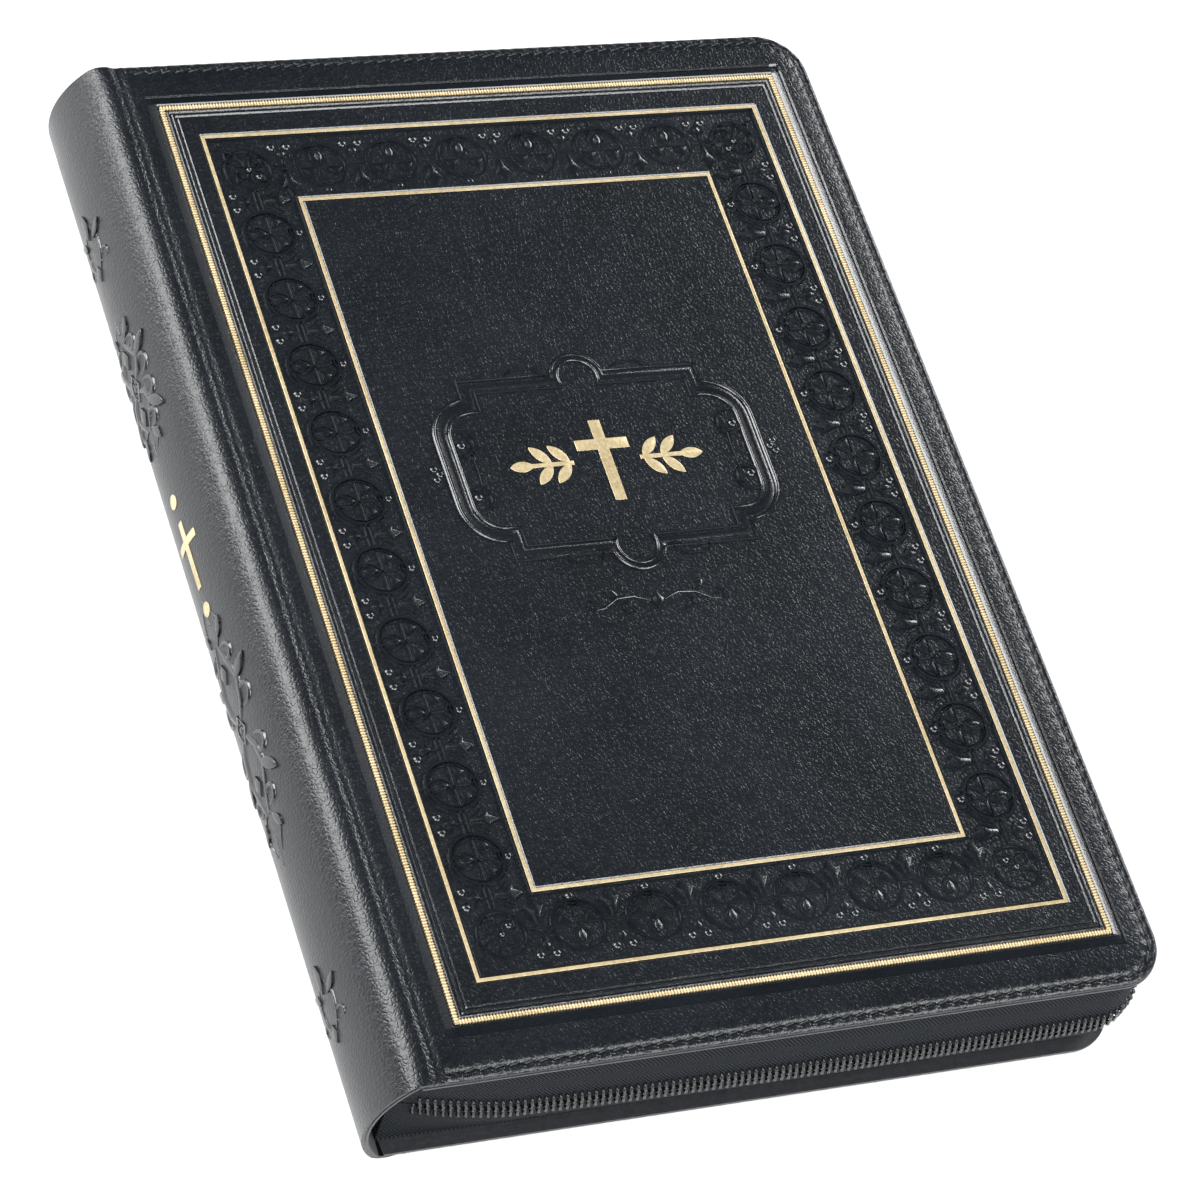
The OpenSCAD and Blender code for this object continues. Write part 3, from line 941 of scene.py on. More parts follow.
@dataclass(frozen=True)
class EdgeTrack:
    """The path from the spine along the head, the fore-edge and the tail, back to the spine.

    Pieces that follow it are made straight, with X along the path, Y outward from the corner
    centres and Z upward, and are then laid round it.
    """

    start_x: float
    corner_x: float
    corner_y: float
    mid_y: float
    bend_r: float
    bow: float = 0
    bow_half: float = 13 * MM
    bow_phase: Flat = (0.12, 0.62)
    tuck_end: float = 0.16
    tuck_depth: float = 1.75
    tuck_power: float = 1.6

    @property
    def quarter(self) -> float:
        """The length of one bend."""
        return self.bend_r * math.pi / 2

    @property
    def straight(self) -> float:
        """The length along the head, or along the tail."""
        return self.corner_x - self.start_x

    @property
    def length(self) -> float:
        """The whole length."""
        return 2 * (self.straight + self.quarter + self.corner_y)

    def bulge(self, x: float, height: float) -> float:
        """Gives how far the tail wall stands out beyond its straight line.

        Args:
            x: The place along the tail.
            height: The height above the middle of the book.

        Returns:
            The distance outward.
        """
        share = (x - self.start_x) / self.straight
        rise = math.sin(math.pi * min(1.0, max(0.0, self.bow_phase[0] + self.bow_phase[1] * share)))
        tuck = 1 - min(1.0, max(0.0, share / self.tuck_end)) if share < self.tuck_end else 0.0
        round_over = max(0.0, 1 - (height / self.bow_half) ** 2)
        return self.bow * (rise - self.tuck_depth * tuck**self.tuck_power) * round_over

    def put(self, v: Vector, mid_z: float = 0) -> Vector:
        """Lays one point round the track.

        Args:
            v: The point on the straight piece.
            mid_z: The height of the book's middle, for the bow.

        Returns:
            The point's place on the book.
        """
        s, reach, z = v
        if s < self.straight:
            return Vector((self.start_x + s, self.mid_y + self.corner_y + reach, z))
        s -= self.straight
        if s < self.quarter:
            a = s / self.bend_r
            return Vector(
                (self.corner_x + reach * math.sin(a), self.mid_y + self.corner_y + reach * math.cos(a), z)
            )
        s -= self.quarter
        if s < 2 * self.corner_y:
            return Vector((self.corner_x + reach, self.mid_y + self.corner_y - s, z))
        s -= 2 * self.corner_y
        if s < self.quarter:
            a = s / self.bend_r
            reach += self.bulge(self.corner_x, z - mid_z) * (1 - math.cos(a))
            return Vector(
                (self.corner_x + reach * math.cos(a), self.mid_y - self.corner_y - reach * math.sin(a), z)
            )
        x = self.corner_x - (s - self.quarter)
        return Vector((x, self.mid_y - self.corner_y - reach - self.bulge(x, z - mid_z), z))

    def lay(self, piece: Piece, mid_z: float = 0) -> Piece:
        """Lays a straight piece round the track."""
        reshape(piece, lambda v: self.put(v, mid_z))
        return true_normals(piece)


def strip(name: str, section: Sequence[Flat], length: float, step: float) -> Piece:
    """Draws a closed section out into a straight strip along X.

    Args:
        name: The strip's name.
        section: The section's outline, as points of reach and height.
        length: The strip's length.
        step: About how long each stretch of it is.

    Returns:
        The strip, starting at X = 0.
    """
    count = max(1, round(length / step))
    bpy.ops.mesh.primitive_circle_add(vertices=len(section), radius=1, fill_type="NGON")
    piece = bpy.context.object
    for vertex, (reach, height) in zip(piece.data.vertices, section):
        vertex.co = (0, reach, height)
    with edit(piece):
        bpy.ops.mesh.select_all(action="SELECT")
        bpy.ops.mesh.extrude_repeat(steps=count, offset=(length / count, 0, 0))
    piece.name = piece.data.name = name
    return piece


def row(piece: Piece, count: int, pitch: float) -> Piece:
    """Repeats a piece along X.

    Args:
        piece: The piece.
        count: How many there are in the row.
        pitch: The distance from each to the next.

    Returns:
        The row, as one piece.
    """
    return apply(
        piece, "ARRAY", count=count, use_relative_offset=False, use_constant_offset=True,
        constant_offset_displace=(pitch, 0, 0),
    )


# ---- covers ----


@dataclass(frozen=True)
class Tooled:
    """A rectangular line pressed into the leather, by its half sizes from the gold frame's middle."""

    half_w: float
    half_h: float
    width: float
    depth: float
    inner_slope: float = 0.28 * MM


@dataclass
class Cover:
    """One padded leather cover: its panel, rolled rim, puckered seam and stitches."""

    datum: Datum
    side: Side
    finish: dict[str, bpy.types.Material]
    rim: float = 7 * MM
    rim_drop: float = 0.8 * MM
    slope: float = 0.28 * MM
    seam_in: float = 2 * MM
    pitch: float = 3.1 * MM
    start: float = 6.2 * MM
    front_lines: tuple[Tooled, ...] = (
        Tooled(74.8 * MM, 112.9 * MM, 0.14 * MM, 0.42 * MM, 1.65 * MM),
        Tooled(72.05 * MM, 110 * MM, 1.5 * MM, 0.28 * MM),
        Tooled(70.5 * MM, 108.5 * MM, 0.2 * MM, 0.34 * MM),
        Tooled(69.4 * MM, 107.4 * MM, 0.2 * MM, 0.32 * MM),
        Tooled(65.05 * MM, 101.9 * MM, 0.9 * MM, 0.25 * MM),
        Tooled(47.9 * MM, 84.2 * MM, 0.9 * MM, 0.25 * MM),
    )
    back_lines: tuple[Tooled, ...] = (
        Tooled(74.8 * MM, 112.9 * MM, 0.14 * MM, 0.42 * MM, 1.65 * MM),
        Tooled(72.05 * MM, 110 * MM, 0.9 * MM, 0.26 * MM),
        Tooled(70.0 * MM, 108 * MM, 0.45 * MM, 0.22 * MM),
    )
    border_out: Flat = (64.5 * MM, 101.35 * MM)
    border_in: Flat = (48.45 * MM, 84.75 * MM)
    border_depth: float = 0.45 * MM

    @property
    def lines(self) -> tuple[Tooled, ...]:
        """The lines pressed into this cover."""
        return self.front_lines if self.side is Side.FRONT else self.back_lines

    @property
    def track(self) -> EdgeTrack:
        """The track that the rim and the seam follow.

        Returns:
            The track.
        """
        d = self.datum
        return EdgeTrack(
            d.fold_x + self.start, d.edge_x - d.corner, d.half_h - d.corner, d.mid_y, d.corner - self.seam_in
        )

    def drop(self, reach: float) -> float:
        """Gives how far the rim lies below the panel at a reach from the corner centres.

        Args:
            reach: The reach, in metres.

        Returns:
            The distance down.
        """
        radius = (self.rim**2 + self.rim_drop**2) / (2 * self.rim_drop)
        run = max(0.0, reach - (self.datum.corner - self.rim))
        return radius - math.sqrt(radius**2 - run**2)

    def panel(self) -> Piece:
        """Presses the flat middle of the cover: lines, sunk border and rounded corners.

        Returns:
            The panel, in its place on the cover.
        """
        d, t = self.datum, self.track
        inner = d.corner - self.rim
        low_x = t.start_x - d.gold_x
        high_x = t.corner_x + inner - d.gold_x
        high_y = t.corner_y + inner
        piece = slab((low_x, -high_y, -d.skin), (high_x, high_y, 0))
        cuts_x: set[float] = set()
        cuts_y: set[float] = set()
        for line in self.lines:
            wide = line.width / 2
            for off in (-wide - line.inner_slope, -wide, wide, wide + self.slope):
                cuts_x.update({line.half_w + off, -line.half_w - off})
                cuts_y.update({line.half_h + off, -line.half_h - off})
        if self.side is Side.FRONT:
            for half, sign in ((self.border_out, -1), (self.border_in, 1)):
                for cuts, size in ((cuts_x, half[0]), (cuts_y, half[1])):
                    cuts.update({size + sign * self.slope, -size - sign * self.slope, size, -size})
        near, hair = 0.1 * MM, 0.01 * MM

        def upright(m: Vector) -> bool:
            """Says whether an edge stands at one of the fore-edge corners."""
            return m.x > high_x - near and abs(m.y) > high_y - near and -d.skin + hair < m.z < -hair

        with edit(piece):
            pick(piece, Part.EDGE, upright)
            bpy.ops.mesh.bevel(offset=inner, segments=5, profile=0.5, affect="EDGES")
            slice_at(0, sorted(x for x in cuts_x if low_x < x < high_x))
            slice_at(1, sorted(y for y in cuts_y if abs(y) < high_y))
            for line in self.lines:
                self.press(piece, (line.half_w + line.width / 2, line.half_h + line.width / 2),
                           (line.half_w - line.width / 2, line.half_h - line.width / 2), line.depth)
            if self.side is Side.FRONT:
                out = (self.border_out[0] - self.slope, self.border_out[1] - self.slope)
                inside = (self.border_in[0] + self.slope, self.border_in[1] + self.slope)
                self.press(piece, out, inside, self.border_depth)
        return smooth(d.lay(piece, self.side), 20)

    def press(self, piece: Piece, outer: Flat, inner: Flat, depth: float) -> None:
        """Sinks the top between two rectangles.

        Args:
            piece: The panel, open in edit mode.
            outer: The outer rectangle's half sizes.
            inner: The inner rectangle's half sizes.
            depth: How far the leather sinks.
        """
        hair = 1e-6

        def between(v: Vector) -> bool:
            """Says whether a vertex of the face lies between the rectangles.

            Args:
                v: The vertex.

            Returns:
                Whether it is one to press down.
            """
            if v.z < -self.datum.skin * 0.9:
                return False
            inside = abs(v.x) < inner[0] - hair and abs(v.y) < inner[1] - hair
            return abs(v.x) < outer[0] + hair and abs(v.y) < outer[1] + hair and not inside

        pick(piece, Part.VERTEX, between)
        bpy.ops.transform.translate(value=(0, 0, -depth))

    def rim_section(self) -> list[Flat]:
        """Gives the rim's section: the rounded top out to the cut edge, then back underneath.

        Returns:
            The outline, as points of reach and height.
        """
        d = self.datum
        reaches = [
            3.5, 4.3, 5.1, 5.8, 6.4, 6.9, 7.3, 7.65, 8.0, 8.25, 8.5, 8.75, 9.0, 9.35, 9.7, 10.0, 10.2, 10.36
        ]
        top = [(r * MM, -self.drop(r * MM) - 0.16 * MM * max(0.0, (r - 9.8) / 0.7) ** 2) for r in reaches]
        edge = -self.drop(d.corner)
        side = [(d.corner, edge - 0.3 * MM), (d.corner, edge - 0.78 * MM)]
        under = [(r * MM, -self.drop(r * MM) - 0.88 * MM) for r in (9.0, 6.4, 3.5)]
        return top + side + under

    def rolled_rim(self) -> Piece:
        """Rolls the padded rim and puckers it along the seam.

        Returns:
            The rim, in its place on the cover.
        """
        t = self.track
        piece = strip(f"{self.side.value}_rim", self.rim_section(), t.length, self.pitch / 4)
        seam = t.bend_r

        def pucker(v: Vector) -> Vector:
            """Sinks the seam line and gathers the leather a little at each stitch hole.

            Args:
                v: A point of the straight rim.

            Returns:
                Where the stitching draws it.
            """
            away = (v.y - seam) / MM
            if v.z < -self.drop(v.y) - 0.5 * MM:
                return v
            phase = TURN * (v.x / self.pitch) + 1.1 * away
            groove = 0.55 * math.exp(-((away / 0.48) ** 2)) * (0.70 + 0.30 * math.cos(phase))
            puff = 0.30 * math.exp(-((away / 1.25) ** 2)) * math.cos(phase + 0.7 * away)
            puff += 0.16 * math.exp(-(((away - 1.15) / 0.5) ** 2)) - 0.05 * math.exp(-((away / 2.4) ** 2))
            return Vector((v.x, v.y, v.z - (groove - puff) * MM))

        reshape(piece, pucker)
        t.lay(piece)
        reshape(piece, lambda v: Vector((v.x - self.datum.gold_x, v.y - self.datum.mid_y, v.z)))
        return smooth(self.datum.lay(piece, self.side), 60)

    def stitches(self) -> Piece:
        """Sews the slanted stitches into the seam.

        Returns:
            The row of stitches, in its place on the cover.
        """
        t = self.track
        bpy.ops.mesh.primitive_uv_sphere_add(segments=7, ring_count=8, radius=1, rotation=(0, math.pi / 2, 0))
        one = settle(bpy.context.object)
        lean = math.radians(14)

        def pull(v: Vector) -> Vector:
            """Shapes one stitch: plump in the middle, with both ends drawn down into their holes.

            Args:
                v: A point of a ball of radius 1.

            Returns:
                Its place on the stitch.
            """
            share = abs(v.x)
            x, y = v.x * 1.28 * MM, v.y * 0.28 * MM
            z = v.z * 0.27 * MM - 0.36 * MM * share**3
            return Vector(
                (x * math.cos(lean) - y * math.sin(lean), x * math.sin(lean) + y * math.cos(lean), z)
            )

        reshape(one, pull)
        count = int(t.length / self.pitch) - 1
        level = -self.drop(t.bend_r) - 0.22 * MM
        reshape(one, lambda v: Vector((v.x + self.pitch, v.y + t.bend_r, v.z + level)))
        seam = t.lay(row(one, count, self.pitch))
        reshape(seam, lambda v: Vector((v.x - self.datum.gold_x, v.y - self.datum.mid_y, v.z)))
        seam.name = seam.data.name = f"{self.side.value}_stitches"
        return smooth(self.datum.lay(seam, self.side), 80)

    def polish(self, panel: Piece) -> None:
        """Gives the tooled lines and the bevelled band round the frame the smooth finish of pressed leather.

        Args:
            panel: The cover's panel.
        """
        panel.data.materials.append(self.finish["pressed"])
        d = self.datum
        for face in panel.data.polygons:
            x, y = abs(face.center.x - d.gold_x), abs(face.center.y - d.mid_y)
            for line in self.lines:
                low, high = line.width / 2 + line.inner_slope, line.width / 2 + self.slope
                inside = x < line.half_w - low and y < line.half_h - low
                if x < line.half_w + high and y < line.half_h + high and not inside:
                    face.material_index = 1

    def make(self) -> None:
        """Makes the cover's leather and its seam."""
        name = "front" if self.side is Side.FRONT else "back"
        panel = self.panel()
        panel.name = panel.data.name = f"{name}_cover_panel"
        hand_over(panel, self.side.value, self.finish["leather"], [f"{name}_skin"])
        self.polish(panel)
        hand_over(self.rolled_rim(), self.side.value, self.finish["leather"])
        hand_over(
            self.stitches(), self.side.value, self.finish["thread"], [f"{name}_stitching"]
        )


# ---- raised ornament ----


@dataclass
class Border:
    """The run of ringed leaves raised in the sunk border of the front cover."""

    datum: Datum
    finish: dict[str, bpy.types.Material]
    half: Flat = (57.1 * MM, 92.8 * MM)
    along: int = 7
    up: int = 11
    floor: float = -0.45 * MM
    boldness: float = 1.12

    def rod(
        self, line: Sequence[Flat], width: float, height: float, closed: bool = False, pointed: bool = False
    ) -> Piece:
        """Raises a ridge on the border's floor, from points and sizes in millimetres.

        Args:
            line: The line it follows.
            width: Its width.
            height: Its height.
            closed: Whether the line closes.
            pointed: Whether both ends thin out.

        Returns:
            The ridge.
        """
        taper = (lambda t: 0.35 + 0.65 * math.sin(math.pi * t)) if pointed else None
        points = [(x * MM, y * MM) for x, y in line]
        return ridge(points, self.floor, width * MM, height * self.boldness * MM, closed, taper)

    def pad(self, outline: Sequence[Flat], height: float, slope: float) -> Piece:
        """Raises a plate on the border's floor, from points and sizes in millimetres."""
        points = [(x * MM, y * MM) for x, y in outline]
        return plate(points, self.floor - 0.05 * MM, height * self.boldness * MM, slope * MM)

    def boss(self, x: float, y: float, radius: float, height: float) -> Piece:
        """Sets a boss on the border's floor, from sizes in millimetres."""
        return ball(x * MM, y * MM, self.floor, radius * MM, height * self.boldness * MM)

    def roundel(self) -> Piece:
        """Models one ring with its upright leaf, crossbar, petals and foot, outer side up.

        Returns:
            The ring, about its own middle.
        """
        parts = [
            self.rod(arc(0, 0, 5.62, 0, 350, 35), 1.05, 0.52, closed=True),
            self.rod(arc(0, 0, 4.75, 0, 348, 29), 0.3, 0.26, closed=True),
            self.rod(almond(5.6, 3.5), 0.5, 0.42, closed=True),
            self.pad([(x, y + 0.9) for x, y in almond(3.2, 1.5, 6)], 0.42, 0.3),
            self.rod([(0, 6.2), (0, 7.1), (0, 8.0)], 0.7, 0.42, pointed=True),
            self.rod([(-5.0, -0.44), (-1.8, -0.5), (0, -0.44), (1.8, -0.5), (5.0, -0.44)], 0.45, 0.38),
            self.rod([(0, -0.4), (0, -2.2), (0, -4.2)], 0.45, 0.36),
            self.pad([(4.5, -0.9), (2.9, -3.2), (1.2, -0.9)][::-1], 0.4, 0.35),
            self.pad([(-1.2, -0.9), (-2.9, -3.2), (-4.5, -0.9)][::-1], 0.4, 0.35),
            self.rod(arc(0, -6.3, 1.75, -15, 195, 12), 0.5, 0.55),
            self.rod(arc(0, -5.1, 1.25, 25, 155, 8), 0.4, 0.42),
            self.boss(0, -6.5, 0.95, 0.5),
        ]
        return join("roundel", parts)

    def link(self) -> Piece:
        """Models what stands between two rings: a double bar, two balls with a lozenge, and a tulip.

        Returns:
            The link, about its own middle.
        """
        tulip = [
            (0.45, -1.2),
            (-0.45, -1.2),
            (-0.8, -3.2),
            (-2.1, -5.3),
            (-0.95, -5.0),
            (0, -7.2),
            (0.95, -5.0),
            (2.1, -5.3),
            (0.8, -3.2),
        ]
        parts = [
            self.rod([(-2.5, 0.55), (0, 0.6), (2.5, 0.55)], 0.5, 0.42),
            self.rod([(-2.5, -0.55), (0, -0.6), (2.5, -0.55)], 0.5, 0.42),
            self.boss(-1.75, 5.5, 1.0, 0.55),
            self.boss(1.75, 5.5, 1.0, 0.55),
            self.pad([(0, 2.2), (0.85, 3.5), (0, 4.8), (-0.85, 3.5)], 0.42, 0.3),
            self.rod([(0.5, 2.6), (1.5, 3.1), (2.3, 4.0)], 0.45, 0.36, pointed=True),
            self.rod([(-0.5, 2.6), (-1.5, 3.1), (-2.3, 4.0)], 0.45, 0.36, pointed=True),
            self.rod([(0, 1.1), (0, 2.2)], 0.4, 0.36),
            self.pad(tulip, 0.45, 0.3),
            self.rod([(1.2, -1.5), (1.9, -3.1), (3.1, -4.5)], 0.4, 0.36, pointed=True),
            self.rod([(-1.2, -1.5), (-1.9, -3.1), (-3.1, -4.5)], 0.4, 0.36, pointed=True),
        ]
        return join("link", parts)

    def corner(self) -> Piece:
        """Models a corner ring with its four petals, the large one up.

        Returns:
            The ring, about its own middle.
        """
        petal = almond(3.6, 2.7, 7)
        parts = [
            self.rod(arc(0, 0, 5.1, 0, 350, 33), 0.95, 0.5, closed=True),
            self.rod(turned(almond(5.4, 3.0), 0, 0, 0.9), 0.45, 0.45, closed=True),
            self.rod([(0, 1.2), (0, 3.0), (0, 4.8)], 0.4, 0.36, pointed=True),
            self.rod([(0, 6.4), (0, 7.4), (0, 8.4)], 0.7, 0.42, pointed=True),
            self.rod(turned(petal, 90, -0.8, 0), 0.45, 0.42, closed=True),
            self.rod(turned(petal, -90, 0.8, 0), 0.45, 0.42, closed=True),
            self.rod(turned(petal, 180, 0, -0.8), 0.45, 0.42, closed=True),
            self.rod(scroll(-2.4, 0, 1.0, 90, 300), 0.32, 0.34),
            self.rod(scroll(2.4, 0, 1.0, 90, -300), 0.32, 0.34),
            self.boss(0, -2.6, 0.8, 0.45),
            self.boss(0, 0, 0.7, 0.55),
        ]
        return join("corner_ring", parts)

    def make(self) -> None:
        """Copies the models round the border and joins each sort into one piece."""
        half_w, half_h = self.half
        step_x, step_y = 2 * half_w / self.along, 2 * half_h / self.up
        models = {"ring": self.roundel(), "link": self.link(), "corner": self.corner()}
        copies: dict[str, list[Piece]] = {name: [] for name in models}

        def lay(name: str, x: float, y: float, degrees: float) -> None:
            """Lays one copy of a model, turned so that its outer side faces the edge."""
            place = Matrix.Translation((x, y, 0)) @ Matrix.Rotation(math.radians(degrees), 4, "Z")
            copies[name].append(copy_of(models[name], place))

        for side, turn in ((1, 0), (-1, 180)):
            for i in range(self.along):
                lay("link", -half_w + (i + 0.5) * step_x, side * half_h, turn)
                if i:
                    lay("ring", -half_w + i * step_x, side * half_h, turn)
            for i in range(self.up):
                lay("link", side * half_w, -half_h + (i + 0.5) * step_y, turn - 90)
                if i:
                    lay("ring", side * half_w, -half_h + i * step_y, turn - 90)
            lay("corner", side * half_w, half_h, -45 * side)
            lay("corner", side * half_w, -half_h, -135 * side)
        for name, model in models.items():
            bpy.data.objects.remove(model)
            whole = smooth(self.datum.lay(join(f"border_{name}s", copies[name]), Side.FRONT), 60)
            hand_over(whole, Side.FRONT.value, self.finish["pressed"])


@dataclass
class Panel:
    """The moulded panel in the middle of the front cover, and the flourish under it."""

    datum: Datum
    finish: dict[str, bpy.types.Material]
    middle_y: float = 12.9
    half_w: float = 36.3
    half_h: float = 22.3
    step_x: float = 27.5
    step_y: float = 17.6
    bend: float = 9.35
    arch: float = 5.9

    def outline(self, inset: float) -> list[Flat]:
        """Gives the panel's outline, in millimetres from its own middle, set in by a distance.

        Args:
            inset: How far the outline is set in.

        Returns:
            The outline, closed.
        """
        high = self.half_h - inset
        arch = self.arch - 0.4 * inset
        lift = high - (self.half_h - 1.3)
        reach = math.degrees(math.asin(max(-0.99, min(0.99, lift / arch))))
        centre = (self.half_w - self.bend, self.step_y - self.bend)
        quarter = arc(0, self.half_h - 1.3, arch, 90, reach, 7)
        quarter += [(self.step_x - inset, high), (self.step_x - inset, self.step_y - inset)]
        quarter += arc(*centre, self.bend - inset, 88, 0, 9)
        quarter += [(self.half_w - inset, 0)]
        right = quarter + [(x, -y) for x, y in reversed(quarter[:-1])]
        return right + [(-x, y) for x, y in reversed(right[1:-1])]

    def rod(
        self,
        line: Sequence[Flat],
        width: float,
        height: float,
        closed: bool = False,
        pointed: bool = False,
    ) -> Piece:
        """Raises a ridge on the leather, from points in millimetres about the panel's middle.

        Args:
            line: The line it follows.
            width: Its width.
            height: Its height.
            closed: Whether the line closes.
            pointed: Whether both ends thin out.

        Returns:
            The ridge.
        """
        taper = (lambda t: 0.3 + 0.7 * math.sin(math.pi * min(1, t * 1.1 + 0.05))) if pointed else None
        points = [(x * MM, (y + self.middle_y) * MM) for x, y in line]
        return ridge(points, 0, width * MM, height * MM, closed, taper)

    def moulding(self) -> Piece:
        """Raises the panel's double frame with its side scrolls and small steps.

        Returns:
            The moulding, about the gold frame's middle.
        """
        parts = [
            self.rod(self.outline(0), 0.85, 0.36, closed=True),
            self.rod(self.outline(3.3), 0.7, 0.34, closed=True),
            self.rod(self.outline(1.75), 2.0, 0.22, closed=True),
        ]
        for side in (-1, 1):
            for end in (-1, 1):
                curl = scroll(31.2, 6.4, 4.1, 55, 360, 0.22)
                parts.append(self.rod([(side * x, end * y) for x, y in curl], 1.1, 0.6, pointed=True))
                parts.append(ball(side * 31.2 * MM, (end * 6.4 + self.middle_y) * MM, 0, 1.0 * MM, 0.5 * MM))
                brow = [(8.0, 0), (9.0, 1.1), (10.6, 1.5), (14.2, 1.5), (15.4, 0.9), (16.2, 0)]
                parts.append(
                    self.rod([(side * x, end * (self.half_h + 0.4 + y)) for x, y in brow], 0.55, 0.28)
                )
                notch = arc(8.3, self.half_h + 0.9, 1.9, 200, 340, 7)
                parts.append(self.rod([(side * x, end * y) for x, y in notch], 0.5, 0.28))
            parts.append(self.rod([(side * 29.4, -4.6), (side * 29.2, 0), (side * 29.4, 4.6)], 0.5, 0.26))
            for x, y in ((37.9, 0), (38.9, 1.3), (38.9, -1.3)):
                parts.append(ball(side * x * MM, (y + self.middle_y) * MM, 0, 0.85 * MM, 0.38 * MM))
        return join("panel_moulding", parts)

    def flourish(self) -> Piece:
        """Raises the small blind flourish below the panel.

        Returns:
            The flourish, about the gold frame's middle.
        """
        parts = []
        low = -34.7
        for side in (-1, 1):
            stem = [(1.6, 0), (5, 1.5), (9, 1.2), (12.4, -0.9), (14.6, -1.2)]
            parts.append(self.rod([(side * x, y + low) for x, y in stem], 0.75, 0.28, pointed=True))
            parts.append(
                self.rod([(side * x, y + low) for x, y in scroll(14.2, 0.4, 1.6, -90, 330)], 0.5, 0.26)
            )
            parts.append(
                self.rod([(side * x, y + low) for x, y in scroll(6.4, -1.5, 1.9, 80, -320)], 0.5, 0.26)
            )
            leaf = turned(almond(3.4, 1.5, 6), -50 * side, side * 8.6, low + 1.4)
            parts.append(
                plate([(x * MM, (y + self.middle_y) * MM) for x, y in leaf], -0.05 * MM, 0.26 * MM, 0.25 * MM)
            )
        gem = [(0, -1.9), (1.25, 0), (0, 1.9), (-1.25, 0)]
        parts.append(
            plate([(x * MM, (y + low + self.middle_y) * MM) for x, y in gem], -0.05 * MM, 0.3 * MM, 0.4 * MM)
        )
        return join("blind_flourish", parts)

    def make(self) -> None:
        """Makes the panel, the flourish and the gold device inside."""
        for piece in (self.moulding(), self.flourish()):
            self.datum.lay(piece, Side.FRONT)
            hand_over(smooth(piece, 60), Side.FRONT.value, self.finish["pressed"])
        device = softened("gold_device", "cross_and_leaves", 0.07 * MM)
        reshape(device, lambda v: Vector((v.x, v.y, v.z + 0.2 * MM)))
        hand_over(device, Side.FRONT.value, self.finish["foil"], ["gold_device"])


@dataclass
class GoldLines:
    """The beaded gold frame and the two plain ones."""

    datum: Datum
    finish: dict[str, bpy.types.Material]
    beaded: Flat = (72.05 * MM, 110 * MM)
    plain: tuple[Flat, ...] = ((65.05 * MM, 101.9 * MM), (47.9 * MM, 84.2 * MM))
    bead: float = 0.66 * MM
    bead_w: float = 1.34 * MM
    line_w: float = 0.78 * MM

    def beads(self) -> Piece:
        """Sets the beads along all four sides on a thin strip of foil.

        Returns:
            The beaded frame, about its own middle.
        """
        parts = []
        half_w, half_h = self.beaded
        for half, across, turn in (
            (half_w, half_h, 0), (half_h, half_w, 90), (half_w, half_h, 180), (half_h, half_w, 270)
        ):
            count = round(2 * half / self.bead)
            pitch = 2 * half / count
            bpy.ops.mesh.primitive_uv_sphere_add(segments=6, ring_count=4, radius=0.5)
            one = bpy.context.object
            reshape(
                one,
                lambda v: Vector(
                    (
                        v.x * self.bead * 0.84 - half,
                        v.y * self.bead_w * 1.08 + across,
                        v.z * 0.8 * MM - 0.14 * MM,
                    )
                ),
            )
            run = row(one, count, pitch)
            run.data.transform(Matrix.Rotation(math.radians(turn), 4, "Z"))
            parts.append(run)
        parts.append(self.frame(self.beaded, self.bead_w * 0.6, -0.3 * MM, 0.16 * MM))
        return join("beaded_gold_frame", parts)

    def frame(self, half: Flat, width: float, floor: float, height: float) -> Piece:
        """Lays one flat frame of foil with softened edges.

        Args:
            half: Its half sizes to the middle of the line.
            width: The line's width.
            floor: The height of its underside from the cover's face.
            height: Its thickness.

        Returns:
            The frame.
        """
        bpy.ops.mesh.primitive_plane_add(size=1, location=(0, 0, floor))
        piece = bpy.context.object
        piece.scale = (2 * half[0] + width, 2 * half[1] + width, 1)
        settle(piece)
        with edit(piece):
            bpy.ops.mesh.select_all(action="SELECT")
            bpy.ops.mesh.inset(thickness=width, depth=0)
            bpy.ops.mesh.delete(type="FACE")
            bpy.ops.mesh.select_all(action="SELECT")
            bpy.ops.mesh.extrude_region_move(TRANSFORM_OT_translate={"value": (0, 0, height)})
        true_normals(piece)
        return apply(
            piece,
            "BEVEL",
            width=height * 0.45,
            segments=2,
            limit_method="ANGLE",
            angle_limit=math.radians(60),
        )

    def make(self) -> None:
        """Makes the three frames."""
        lines = [self.frame(half, self.line_w, -0.26 * MM, 0.22 * MM) for half in self.plain]
        gold = join("plain_gold_frames", lines)
        beads = self.beads()
        for piece, nodes in ((gold, ["gold_frames"]), (beads, [])):
            self.datum.lay(piece, Side.FRONT)
            hand_over(smooth(piece, 60), Side.FRONT.value, self.finish["foil"], nodes)


# ---- spine ----


